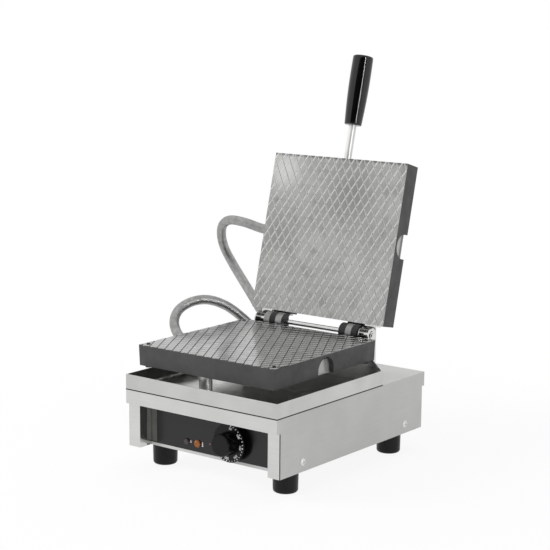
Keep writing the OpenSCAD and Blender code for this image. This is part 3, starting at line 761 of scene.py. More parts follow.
def turned(name: str, profile: Sequence[tuple[float, float]],
           seat_at: Matrix = Matrix.Identity(4), segments: int = 32) -> Object:
    """Turns a closed solid about Z from a profile and seats it.

    Args:
        name: the object's name.
        profile: (radius, height) pairs in millimetres that start and end on the axis, or a
            closed line beside it.
        seat_at: the matrix from the profile's millimetres to where the solid stands.
        segments: how many faces go round.
    Returns:
        The turned object, shaded smooth.
    """
    bm = bmesh.new()
    points = [bm.verts.new((r, 0, z)) for r, z in profile]
    edges = [bm.edges.new(pair) for pair in zip(points, points[1:])]
    bmesh.ops.spin(
        bm, geom=points + edges, cent=(0, 0, 0), axis=(0, 0, 1), angle=2 * math.pi,
        steps=segments, use_merge=True,
    )
    bmesh.ops.remove_doubles(bm, verts=bm.verts, dist=SPUN_WELD)
    bmesh.ops.recalc_face_normals(bm, faces=bm.faces)
    obj = object_from(bm, name)
    obj.data.transform(seat_at)
    return smooth(obj)


def lettering(text: str, size: float, bold: float, seat_at: Matrix) -> Object:
    """Makes flat printed figures as a mesh.

    Args:
        text: the figures.
        size: their height in millimetres.
        bold: how far their strokes are widened to each side, in millimetres.
        seat_at: the matrix from the figures' own millimetres to the frame.
    Returns:
        The figures as a thin mesh object.
    """
    curve = bpy.data.curves.new(text, "FONT")
    curve.body, curve.size, curve.extrude, curve.offset = text, size, LETTER_THICK, bold
    curve.align_x, curve.align_y = "CENTER", "CENTER"
    shown = link_object(f"type_{text}", curve)
    mesh = evaluated_mesh(shown)
    bpy.data.objects.remove(shown)
    bpy.data.curves.remove(curve)
    mesh.transform(seat_at)
    return link_object(f"figure_{text}", mesh)


def joined(name: str, parts: Sequence[Object]) -> Object:
    """Joins mesh objects of one finish into a single new object.

    Args:
        name: the new object's name.
        parts: the objects, which are removed.
    Returns:
        The new object.
    """
    bm = bmesh.new()
    for part in parts:
        bm.from_mesh(part.data)
        bpy.data.objects.remove(part)
    return object_from(bm, name)


# ---- Geometry Nodes ----


class NodeRecipe:
    """A Geometry Nodes tree under construction, with named inputs."""

    def __init__(self, name: str, **inputs: str) -> None:
        """Starts a tree that takes a geometry and named inputs and gives a geometry.

        Args:
            name: the tree's name.
            inputs: the name of each further input to its socket type.
        """
        self.tree = bpy.data.node_groups.new(name, "GeometryNodeTree")
        self.add = partial(add_node, self.tree)
        new_socket = self.tree.interface.new_socket
        new_socket("Geometry", in_out="OUTPUT", socket_type="NodeSocketGeometry")
        self.ids = {
            key: new_socket(key, in_out="INPUT", socket_type=f"NodeSocket{kind}").identifier
            for key, kind in {"Geometry": "Geometry", **inputs}.items()}
        self.given = self.add("NodeGroupInput").outputs

    def finish(self, geometry: Node, **materials: Node | bool) -> "NodeRecipe":
        """Ends the tree with real instances and the materials of its named inputs.

        Args:
            geometry: what the tree has made.
            materials: the name of each material input to the faces that get it.
        Returns:
            The finished recipe.
        """
        done = self.add("GeometryNodeRealizeInstances", {"Geometry": geometry})
        for name, where in materials.items():
            done = self.add("GeometryNodeSetMaterial", {
                "Geometry": done, "Selection": where, "Material": self.given[name]})
        self.add("NodeGroupOutput", {"Geometry": done})
        return self

    def apply(self, obj: Object, **values: Any) -> Object:
        """Runs the tree on an object and bakes the result into its mesh.

        Args:
            obj: the object whose mesh is the tree's first input.
            values: the name of each other input to its value.
        Returns:
            The object with the baked mesh.
        """
        modifier = obj.modifiers.new(self.tree.name, "NODES")
        modifier.node_group = self.tree
        for name, value in values.items():
            modifier[self.ids[name]] = value
        return bake(obj)


def rib_recipe() -> NodeRecipe:
    """Builds the tree that winds a ribbed tube along a line of points.

    Each turn of the strip takes four rings of points, and the first of them is its seam.

    Returns:
        The recipe, with the line's points as its geometry.
    """
    recipe = NodeRecipe("wound_hose", Turns="Int", Radius="Float", Depth="Float",
                        Sides="Int", Metal="Material")
    add, given = recipe.add, recipe.given
    line = add("GeometryNodeMeshToCurve", {"Mesh": given["Geometry"]})
    count = add("ShaderNodeMath", {0: given["Turns"], 1: 4, 2: 1}, operation="MULTIPLY_ADD")
    even = add("GeometryNodeResampleCurve", {"Curve": line, "Count": count})
    step = add("ShaderNodeMath", {0: add("GeometryNodeInputIndex"), 1: 4}, operation="MODULO")
    seam = add("ShaderNodeMath", {0: step, 1: 0.5}, operation="LESS_THAN")
    share = add("ShaderNodeMath", {0: given["Depth"], 1: given["Radius"]}, operation="DIVIDE")
    sunk = add("ShaderNodeMath", {0: seam, 1: share}, operation="MULTIPLY")
    scale = add("ShaderNodeMath", {0: 1.0, 1: sunk}, operation="SUBTRACT")
    ring = add("GeometryNodeCurvePrimitiveCircle", {
        "Resolution": given["Sides"], "Radius": given["Radius"]})
    tube = add("GeometryNodeCurveToMesh", {
        "Curve": even, "Profile Curve": ring, "Scale": scale, "Fill Caps": True})
    return recipe.finish(tube, Metal=True)


def diamond_recipe() -> NodeRecipe:
    """Builds the tree that sets diamond pads over a plate, cut off at its outline.

    The flanks are told apart by the product of their normal's X and Y, which is near 0 on
    the crowns.

    Returns:
        The recipe, with the plate's outline solid as its geometry.
    """
    recipe = NodeRecipe(
        "diamond_pads", Columns="Int", Rows="Int", Wide="Float", Long="Float", Crown="Float",
        Foot="Float", Height="Float", Centre="Vector", Face="Material", LeftFlank="Material",
        RightFlank="Material")
    add, given = recipe.add, recipe.given
    cell = add("ShaderNodeCombineXYZ", {"X": given["Wide"], "Y": given["Long"]})
    grid_inputs = {}
    for axis, cells, size in (("X", "Columns", "Wide"), ("Y", "Rows", "Long")):
        grid_inputs[f"Vertices {axis}"] = add("ShaderNodeMath", {0: given[cells], 1: 1},
                                              operation="ADD")
        grid_inputs[f"Size {axis}"] = add("ShaderNodeMath", {0: given[cells], 1: given[size]},
                                          operation="MULTIPLY")
    grids = []
    for shift in (0.0, 0.5):
        spot = add("ShaderNodeVectorMath", {
            0: cell, 1: (shift, shift, shift), 2: given["Centre"]}, operation="MULTIPLY_ADD")
        grids.append(add("GeometryNodeTransform", {
            "Geometry": add("GeometryNodeMeshGrid", grid_inputs), "Translation": spot}))
    pad = add("GeometryNodeMeshCone", {
        "Vertices": 4, "Radius Top": given["Crown"], "Radius Bottom": given["Foot"],
        "Depth": given["Height"]})
    half = add("ShaderNodeVectorMath", {0: cell, 1: (0.5, 0.5, 0.0), 2: (0.0, 0.0, 1.0)},
               operation="MULTIPLY_ADD")
    placed = add("GeometryNodeInstanceOnPoints", {
        "Points": add("GeometryNodeJoinGeometry", {"Geometry": grids}), "Instance": pad,
        "Scale": half})
    real = add("GeometryNodeRealizeInstances", {"Geometry": placed})
    cut = add("GeometryNodeMeshBoolean", {"Mesh 2": [real, given["Geometry"]]},
              operation="INTERSECT")
    facing = add("ShaderNodeSeparateXYZ", {"Vector": add("GeometryNodeInputNormal")}).outputs
    slant = add("ShaderNodeMath", {0: facing["X"], 1: facing["Y"]}, operation="MULTIPLY")
    left, right = (
        add("ShaderNodeMath", {0: slant, 1: limit}, operation=side)
        for side, limit in (("GREATER_THAN", 0.05), ("LESS_THAN", -0.05)))
    return recipe.finish(cut, Face=True, LeftFlank=left, RightFlank=right)


def dot_recipe() -> NodeRecipe:
    """Builds the tree that prints an arc of round dots, with a bold one at each figure.

    Returns:
        The recipe, whose geometry input isn't used.
    """
    recipe = NodeRecipe("arc_of_dots", Count="Int", Ring="Float", Dot="Float", Thick="Float",
                        First="Float", Step="Float", Skip="Int", Bolder="Float",
                        Ink="Material")
    add, given = recipe.add, recipe.given
    index = add("GeometryNodeInputIndex")
    turn = add("ShaderNodeMath", {0: index, 1: given["Step"], 2: given["First"]},
               operation="MULTIPLY_ADD")
    across, up = (add("ShaderNodeMath", {0: turn}, operation=w) for w in ("SINE", "COSINE"))
    spot = add("ShaderNodeVectorMath", {
        0: add("ShaderNodeCombineXYZ", {"X": across, "Y": up}), "Scale": given["Ring"],
    }, operation="SCALE")
    points = add("GeometryNodePoints", {"Count": given["Count"], "Position": spot})
    disc = add("GeometryNodeMeshCylinder", {
        "Vertices": 12, "Radius": given["Dot"], "Depth": given["Thick"]})
    step = add("ShaderNodeMath", {0: index, 1: given["Skip"]}, operation="MODULO")
    bold = add("ShaderNodeMath", {0: step, 1: 0.5}, operation="LESS_THAN")
    size = add("ShaderNodeMath", {0: bold, 1: given["Bolder"], 2: 1.0},
               operation="MULTIPLY_ADD")
    dots = add("GeometryNodeInstanceOnPoints", {
        "Points": points, "Instance": disc, "Scale": size})
    return recipe.finish(dots, Ink=True)


def seat_recipe() -> NodeRecipe:
    """Builds the tree that sets a copy of one fastener on every seat point.

    Returns:
        The recipe, with the seats as its geometry and their directions in "axis".
    """
    recipe = NodeRecipe("fasteners", Fastener="Object", Size="Float", Metal="Material")
    add, given = recipe.add, recipe.given
    axis = add("GeometryNodeInputNamedAttribute", {"Name": "axis"}, data_type="FLOAT_VECTOR")
    turn = add("FunctionNodeAlignRotationToVector", {"Vector": axis}, axis="Z")
    pattern = add("GeometryNodeObjectInfo", {"Object": given["Fastener"]},
                  transform_space="ORIGINAL")
    placed = add("GeometryNodeInstanceOnPoints", {
        "Points": given["Geometry"], "Instance": pattern.outputs["Geometry"],
        "Rotation": turn, "Scale": given["Size"]})
    return recipe.finish(placed, Metal=True)


def fastened(name: str, pattern: Object, spots: Sequence[tuple[Vector, Vector]],
             seats: NodeRecipe, finish: Finish) -> Object:
    """Sets a copy of one fastener on each spot.

    Args:
        name: the new object's name.
        pattern: the fastener in millimetres along +Z, which is then removed.
        spots: where each one sits in metres, and its direction.
        seats: the tree that sets fasteners.
        finish: their finish.
    Returns:
        The fasteners as one object.
    """
    bm = bmesh.new()
    axis = bm.verts.layers.float_vector.new("axis")
    for spot, way in spots:
        bm.verts.new(spot)[axis] = way
    done = seats.apply(object_from(bm, name), Fastener=pattern, Size=MM, Metal=finish.build())
    bpy.data.objects.remove(pattern)
    return done


# ---- Conduits ----


def curve_points(route: Sequence[Vector], steps: int) -> list[Vector]:
    """Gives points on the smooth curve through a route's points.

    Args:
        route: the points that the curve passes.
        steps: how many pieces each stretch is cut into.
    Returns:
        The points in order, both ends included.
    """
    found = []
    for i in range(len(route) - 1):
        b, c = route[i], route[i + 1]
        a = route[i - 1] if i > 0 else 2 * b - c
        d = route[i + 2] if i + 2 < len(route) else 2 * c - b
        for k in range(steps):
            u = k / steps
            found.append((2 * b + (c - a) * u + (2 * a - 5 * b + 4 * c - d) * u**2
                          + (3 * b - a - 3 * c + d) * u**3) / 2)
    return found + [route[-1]]


@dataclass
class Conduit:
    """Strip-wound steel hose between a gland in the deck and a baking plate.

    A hose that bends is left where it is drawn, with the lid open, and rides on no body. The
    fields turn_way and turn_long are not used.
    """

    name: str
    node: str
    route: list[tuple[float, float, float]]
    bends: bool = False
    turn_way: tuple[float, float, float] = (-0.49, 0.23, 0.84)
    turn_long: float = 180.0
    radius: float = 8.1
    pitch: float = 2.6
    depth: float = 0.45
    sides: int = 28
    steps: int = 16

    def build(self, ribs: NodeRecipe) -> None:
        """Args:
            ribs: the tree that winds the tube.
        """
        line = curve_points([place(*p) for p in self.route], self.steps)
        length = sum((b - a).length for a, b in zip(line, line[1:]))
        bm = bmesh.new()
        points = [bm.verts.new(p) for p in line]
        for pair in zip(points, points[1:]):
            bm.edges.new(pair)
        obj = ribs.apply(
            object_from(bm, self.name), Turns=round(length / (self.pitch * MM)),
            Radius=self.radius * MM, Depth=self.depth * MM, Sides=self.sides,
            Metal=GALVANISED_STRIP.build())
        obj.data.shade_smooth()
        if self.bends:
            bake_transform(obj)
            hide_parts(self.node)
        else:
            stand_in(obj, self.node)
        log.info("%s: %.0f mm of hose", self.name, length / MM)


# ---- Baking plates ----


@dataclass
class BakingPlate:
    """A cast iron plate whose ground face is engraved with diamonds.

    It is drawn in millimetres from the middle of its front edge, with the face at Z 0. The
    pads reach into the casting by sunk. The casting's edges are eased where they lie more
    than edge_below under the floor of the grooves.
    """

    name: str
    node: str
    to_frame: Matrix
    face: Finish
    left_flank: Finish
    right_flank: Finish
    groove_deep: float
    groove_top: float
    groove_foot: float = 0.1
    sunk: float = 0.15
    wide: float = 267.0
    deep: float = 265.0
    pitch: float = 15.65
    slant_deg: float = 30.0
    columns: int = 18
    rows: int = 10
    edge: float = 0.8
    edge_deg: float = 50.0
    edge_below: float = 0.5
    weld: float = 0.002
    outline_high: float = 6.0
    hole_radius: float = 3.4
    holes: tuple[tuple[float, float], ...] = ()
    stop: tuple[tuple[float, float], ...] = (
        (0, -4), (3.3, -4), (3.3, 0.3), (2.9, 1.1), (2.1, 1.6), (0, 1.7))

    def casting(self) -> Object:
        """Makes the casting up to the floor of the grooves, with its edges eased."""
        bm = merged_copy(self.node)
        bmesh.ops.transform(bm, matrix=self.to_frame.inverted(), verts=bm.verts)
        for vert in bm.verts:
            if vert.co.z > -self.groove_deep / 2:
                vert.co.z = -self.groove_deep
        bmesh.ops.remove_doubles(bm, verts=bm.verts, dist=self.weld)
        bmesh.ops.dissolve_degenerate(bm, dist=self.weld, edges=bm.edges)
        below = -self.groove_deep - self.edge_below
        sharp = [
            e for e in bm.edges
            if len(e.link_faces) == 2 and e.calc_face_angle(0) > math.radians(self.edge_deg)
            and min(v.co.z for v in e.verts) < below
        ]
        bmesh.ops.bevel(bm, geom=sharp, offset=self.edge, segments=2, profile=0.6,
                        affect="EDGES", clamp_overlap=True)
        return object_from(bm, f"{self.name}_casting")

    def outline(self) -> Object:
        """Makes the solid that cuts the pads off at the plate's edges and screw holes."""
        bm = bmesh.new()
        bmesh.ops.create_cube(bm, size=1.0, matrix=Matrix.Translation((0, self.deep / 2, 0))
                              @ Matrix.Diagonal((self.wide, self.deep, self.outline_high, 1)))
        solid = object_from(bm, f"{self.name}_pads")
        if not self.holes:
            return solid
        bm = bmesh.new()
        for x, y in self.holes:
            bmesh.ops.create_cone(bm, cap_ends=True, segments=32, radius1=self.hole_radius,
                                  radius2=self.hole_radius, depth=2 * self.outline_high,
                                  matrix=Matrix.Translation((x, y, 0)))
        return cut_away(solid, object_from(bm, f"{self.name}_drills"))

    def mark_places(self, mesh: Mesh) -> None:
        """Writes each point's place on the plate to a UV map, 1 for the plate's depth.

        Args:
            mesh: the engraved face, still in the plate's own millimetres.
        """
        places = mesh.uv_layers.new(name=PLATE_MAP)
        for loop in mesh.loops:
            spot = mesh.vertices[loop.vertex_index].co
            places.data[loop.index].uv = (0.5 + spot.x / self.wide, spot.y / self.deep)

    def stops(self, seats: NodeRecipe) -> None:
        """Fills the screw holes with black stops that keep the two faces apart.

        Args:
            seats: the tree that sets fasteners.
        """
        spots = [(self.to_frame @ Vector((x, y, 0)), Vector((0, 0, 1))) for x, y in self.holes]
        hand_over(fastened(f"{self.name}_stops", turned("stop", self.stop), spots, seats,
                           DULL_BAKELITE), BODIES[self.node])

    def build(self, pads: NodeRecipe) -> None:
        """Sets the pads on the casting and hands both over.

        Args:
            pads: the tree that sets the diamond pads.
        """
        long = self.pitch / math.tan(math.radians(self.slant_deg))
        inside = self.pitch * long / 4 / math.hypot(self.pitch / 2, long / 2)
        engraved = pads.apply(
            self.outline(), Columns=self.columns, Rows=self.rows, Wide=self.pitch, Long=long,
            Crown=1 - self.groove_top / 2 / inside, Foot=1 - self.groove_foot / 2 / inside,
            Height=self.groove_deep + self.sunk,
            Centre=Vector((self.pitch / 2, self.deep / 2, -self.groove_deep - self.sunk)),
            Face=self.face.build(), LeftFlank=self.left_flank.build(),
            RightFlank=self.right_flank.build())
        self.mark_places(engraved.data)
        casting = smooth(paint(self.casting(), CAST_SKIN))
        for obj in (casting, engraved):
            obj.data.transform(self.to_frame)
            if self.to_frame.determinant() < 0:
                obj.data.flip_normals()
        stand_in(casting, self.node)
        hand_over(engraved, BODIES[self.node])


# ---- The machine's other sub-assemblies ----


@dataclass
class Housing:
    """The stainless box: cover, corner posts, panels, base sheet and side screws.

    The posts' outer faces within edge of the box's side are painted black as the shade of the
    seam there, where X has at least seam_shade_share of the normal.
    """

    edge: float = 0.6
    half_wide: float = 150.0
    seam_shade_share: float = 0.3
    screw_spots: tuple[tuple[float, float], ...] = ((63.5, 50.5), (342.5, 50.5))
    shank_and_nut: tuple[tuple[float, float], ...] = (
        (0, -9), (2.5, -9), (2.5, -5.1), (4.4, -5.1), (4.4, -1.8), (2.5, -1.8), (2.5, 0))
    dome: tuple[tuple[float, float], ...] = (
        (6, 0), (6, 0.5), (5.6, 1.4), (4.6, 2.2), (3.2, 2.75), (1.6, 2.95), (0, 3.0))
    recess: tuple[float, float, float] = (5.0, 1.1, 2.2)
    recess_z: float = 2.6

    def screw(self) -> Object:
        """Makes one domed screw with a cross recess, its shank and nut, along +Z."""
        head = turned("screw_head", self.shank_and_nut + self.dome, segments=40)
        bm = bmesh.new()
        for turn in (0, math.pi / 2):
            bmesh.ops.create_cube(bm, size=1.0, matrix=Matrix.Translation((0, 0, self.recess_z))
                                  @ Matrix.Rotation(turn, 4, "Z")
                                  @ Matrix.Diagonal((*self.recess, 1.0)))
        return smooth(cut_away(head, object_from(bm, "cross_recess"), crossed=True), 40)

    def build(self, seats: NodeRecipe) -> None:
        """Eases the sheet pieces, paints the posts' outer edges black as shade, sets the side
        screws.

        Args:
            seats: the tree that sets fasteners.
        """
        for node in ("housing_cover", "rear_panel", "bottom_plate"):
            eased(node, self.edge, SATIN_STAINLESS)
        for node in ("post_left", "post_right"):
            post = eased(node, self.edge, FOLDED_STAINLESS)
            # The posts' outer edges are painted black rubber as the shade of the seam beside them
            post.data.materials.append(MOULDED_RUBBER.build())
            for face in post.data.polygons:
                outer = abs(face.center.x) > (self.half_wide - self.edge) * MM
                face.material_index = int(outer and abs(face.normal.x) > self.seam_shade_share)
        spots = [(place(side * self.half_wide, y, z), Vector((side, 0, 0)))
                 for side in (-1, 1) for y, z in self.screw_spots]
        stand_in(fastened("housing_screws", self.screw(), spots, seats, PALE_SCREW_STEEL),
                 "side_screws")


@dataclass
class Dial:
    """The thermostat's dial: a printed skirt with a fluted knob in front of it."""

    centre: tuple[float, float, float] = (39.7, 22.0, 68.8)
    figures: tuple[str, ...] = ("50", "100", "150", "200", "250", "300")
    figure_ring: float = 23.6
    figure_high: float = 5.4
    figure_bold: float = 0.14
    figure_proud: float = 0.02
    first_deg: float = 9.25
    step_deg: float = 44.25
    dot_ring: float = 28.0
    dot_radius: float = 0.85
    dot_thick: float = 0.06
    dot_bolder: float = 0.35
    dots_between: int = 4

    def build(self, dots: NodeRecipe) -> None:
        """Dresses the dial and prints its plain figures and dots.

        Args:
            dots: the tree that prints dots.
        """
        eased("dial_skirt", 0.3, DULL_BAKELITE)
        eased("knob_grip", 0.5, DULL_BAKELITE)
        to_frame = seat(*self.centre) @ TO_USER
        figures = []
        for k, text in enumerate(self.figures):
            turn = math.radians(self.first_deg + k * self.step_deg)
            spin = (to_frame @ Matrix.Rotation(-turn, 4, "Z")
                    @ Matrix.Translation((0, self.figure_ring, self.figure_proud)))
            figures.append(lettering(text, self.figure_high, self.figure_bold, spin))
        printed = joined("dial_figures", figures)
        arc = dots.apply(
            link_object("dial_dots", bpy.data.meshes.new("dial_dots")),
            Count=(len(self.figures) - 1) * self.dots_between + 1, Ring=self.dot_ring,
            Dot=self.dot_radius, Thick=self.dot_thick, First=math.radians(self.first_deg),
            Step=math.radians(self.step_deg / self.dots_between), Skip=self.dots_between,
            Bolder=self.dot_bolder, Ink=WHITE_INK.build())
        arc.data.transform(to_frame)
        for obj in (paint(printed, WHITE_INK), arc):
            hand_over(obj, Body.KNOB)


@dataclass
class ControlPanel:
    """The black fascia with its two lamps and the small marks beside them."""

    face_y: float = 34.2
    heat_mark: tuple[float, float] = (-21.5, 53.5)
    power_mark: tuple[float, float] = (-45.5, 53.5)
    red_dot: tuple[float, float] = (-6.5, 56.5)
    ink_thick: float = 0.05
    bar_corner: float = 0.4

    def disc(self, name: str, x: float, z: float, radius: float, hole: float = 0.0) -> Object:
        """Prints a disc or a ring on the fascia.

        Args:
            name: the object's name.
            x: its middle along X in bench millimetres.
            z: its middle along Z in bench millimetres.
            radius: its outer radius.
            hole: the radius of its hole, or 0.
        Returns:
            The mark as a thin mesh.
        """
        profile = [(hole, 0), (radius, 0), (radius, self.ink_thick), (hole, self.ink_thick)]
        if hole:
            profile.append(profile[0])
        return turned(name, profile, seat(x, self.face_y, z) @ TO_USER)

    def bar(self, name: str, x: float, z: float, wide: float, high: float) -> Object:
        """Prints an upright bar on the fascia with its corners eased.

        Args:
            name: the object's name.
            x: its middle along X in bench millimetres.
            z: its middle along Z in bench millimetres.
            wide: its width.
            high: its height.
        Returns:
            The mark as a thin mesh.
        """
        bm = bmesh.new()
        bmesh.ops.create_cube(bm, size=1.0, matrix=seat(x, self.face_y, z)
                              @ Matrix.Diagonal((wide, 2 * self.ink_thick, high, 1.0)))
        bmesh.ops.bevel(bm, geom=[e for e in bm.edges
                                  if abs(e.verts[0].co.y - e.verts[1].co.y) > WELD],
                        offset=wide * MM * self.bar_corner, segments=3, affect="EDGES")
        return object_from(bm, name)

    def build(self) -> None:
        """Dresses the fascia and lamps and prints the marks."""
        # The panel's sheet is painted dark grey as the shade of its recess
        for node, edge, finish in (
            ("control_panel", 0.6, RECESS_SHADED_STAINLESS), ("panel_fascia", 0.2, FASCIA_ENAMEL),
            ("heat_lamp", 0.4, AMBER_ACRYLIC), ("power_lamp", 0.4, SMOKED_ACRYLIC),
        ):
            eased(node, edge, finish)
        # A thermometer with two rungs, then a broken circle, then the red dot
        x, z = self.heat_mark
        marks = [self.disc("bulb", x, z - 2.6, 1.5), self.bar("stem", x, z + 0.4, 1.3, 6)]
        marks += [self.bar(f"rung_{k}", x + 1.9, z + 0.2 + 1.6 * k, 1.1, 0.5) for k in (0, 1)]
        x, z = self.power_mark
        marks += [self.disc("ring", x, z, 2.0, 1.45), self.bar("tick", x, z + 1.4, 0.7, 2.2)]
        dot = self.disc("dot", *self.red_dot, 1.6)
        for name, parts, ink in (("panel_marks", marks, WHITE_INK),
                                 ("panel_red_dot", [dot], RED_INK)):
            hand_over(paint(joined(name, parts), ink), Body.BASE)


@dataclass
class Handle:
    """The lid's bright rod and its tapered bakelite grip.

    The grip widens from low to high in radius along its length, and its belly is how much
    fuller it is in the middle. Its end is rounded by corner, and its foot a little.
    """

    start_y: float = -46.5
    axis_z: float = 223.8
    long: float = 117.0
    low: float = 14.3
    high: float = 17.0
    belly: float = 1.5
    corner: float = 3.0
    rod: float = 6.0

    def profile(self) -> list[tuple[float, float]]:
        """Gives the grip's profile as (radius, height) pairs: its foot, side and end."""
        foot = [(0.0, 0.0), (self.rod + 0.3, 0.0), (self.low - 1.4, 0.0),
                (self.low - 0.5, 0.25), (self.low, 1.2)]
        shares = [k / 40 for k in range(2, 39)]
        side = [(self.low + (self.high - self.low) * t + self.belly * math.sin(math.pi * t),
                 self.long * t) for t in shares]
        turns = [math.radians(15 * k) for k in range(7)]
        end = [(self.high - self.corner * (1 - math.cos(a)),
                self.long - 0.5 - self.corner * (1 - math.sin(a))) for a in turns]
        return foot + side + end + [(self.rod, self.long - 0.25), (0.0, self.long - 0.1)]

    def build(self) -> None:
        """Turns the grip and dresses the rod."""
        grip = turned("lid_grip", self.profile(),
                      OPENED @ seat(0, self.start_y, self.axis_z) @ TO_USER, 96)
        stand_in(paint(grip, BAKELITE), "handle_grip")
        dress(DRAWN_BAR, "handle_rod")


@dataclass
class Works:
    """Everything else: the tray, supports, hinge, feet and innards.

    The tray's gasket is drawn out past its joint by gasket_out along X and Y, and up and
    down by gasket_rise, so that its black fills the joint as painted shade. Points within rim
    of its box are its edge. The sides of the lower lugs, where X has at least
    skin_and_shade_share of the normal, keep the casting's dark skin, which also paints the
    shade they lie in under the lid.
    """

    gasket_out: tuple[float, float] = (3.2, 3.15)
    gasket_rise: float = 0.45
    rim: float = 0.1
    skin_and_shade_share: float = 0.9

    def gasket(self) -> None:
        """Makes the tray's gasket, drawn out to fill its joint in black as painted shade."""
        bm = merged_copy("tray_gasket")
        low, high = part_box("tray_gasket")
        near = self.rim * MM
        for vert in bm.verts:
            for axis in (0, 1):
                if vert.co[axis] < low[axis] + near:
                    vert.co[axis] -= self.gasket_out[axis] * MM
                elif vert.co[axis] > high[axis] - near:
                    vert.co[axis] += self.gasket_out[axis] * MM
            vert.co.z += math.copysign(self.gasket_rise * MM,
                                       vert.co.z - (low[2] + high[2]) / 2)
        obj = object_from(bm, "tray_gasket_full")
        stand_in(paint(obj, MOULDED_RUBBER), "tray_gasket")

    def build(self) -> None:
        """Eases the pieces that show and dresses the others."""
        eased("drip_tray", 0.4, BRIGHT_STAINLESS, fold=3.5)
        eased("rear_support", 0.4, BRIGHT_STAINLESS)
        for side in ("left", "right"):
            eased(f"hinge_stand_{side}", 0.4, POLISHED_STAINLESS)
            eased(f"upper_lug_{side}", 0.8, BLACKENED_IRON)
            lug = eased(f"lower_lug_{side}", 0.8, BARE_IRON)
            # Its sides take the dark casting skin, which also paints the shade they lie in under
            # the lid
            lug.data.materials.append(CAST_SKIN.build())
            for face in lug.data.polygons:
                face.material_index = int(abs(face.normal.x) > self.skin_and_shade_share)
            dress(MOULDED_RUBBER, f"foot_front_{side}", f"foot_rear_{side}")
        self.gasket()
        dress(POLISHED_STAINLESS, "hinge_shaft", "shaft_clips", "knob_spindle")
        dress(TURNED_STEEL, "front_pillar")
        dress(ZINC_PLATE, "foot_screws", "pillar_nut", "lower_lug_screws", "upper_lug_screws",
              "upper_cover_screws", "hinge_stand_bolts", "lower_hose_gland",
              "upper_hose_gland", "deck_gland_lower", "deck_gland_upper")
        dress(SATIN_STAINLESS, "lower_cover", "upper_cover")
        dress(BLACKENED_IRON, "lower_plate_screws")
        dress(HEATED_SHEATH, "lower_element", "upper_element")
        dress(DRAWN_COPPER, "capillary_tube", "sensor_bulb")
        dress(SINTERED_BRONZE, "hinge_bushes")
        dress(TURNED_BRASS, "earth_stud")
        dress(BLACK_NYLON, "mains_gland")
        dress(GLAZED_STEATITE, "terminal_block")
        dress(PHENOLIC_CASE, "thermostat_body")


# ---- Studio ----


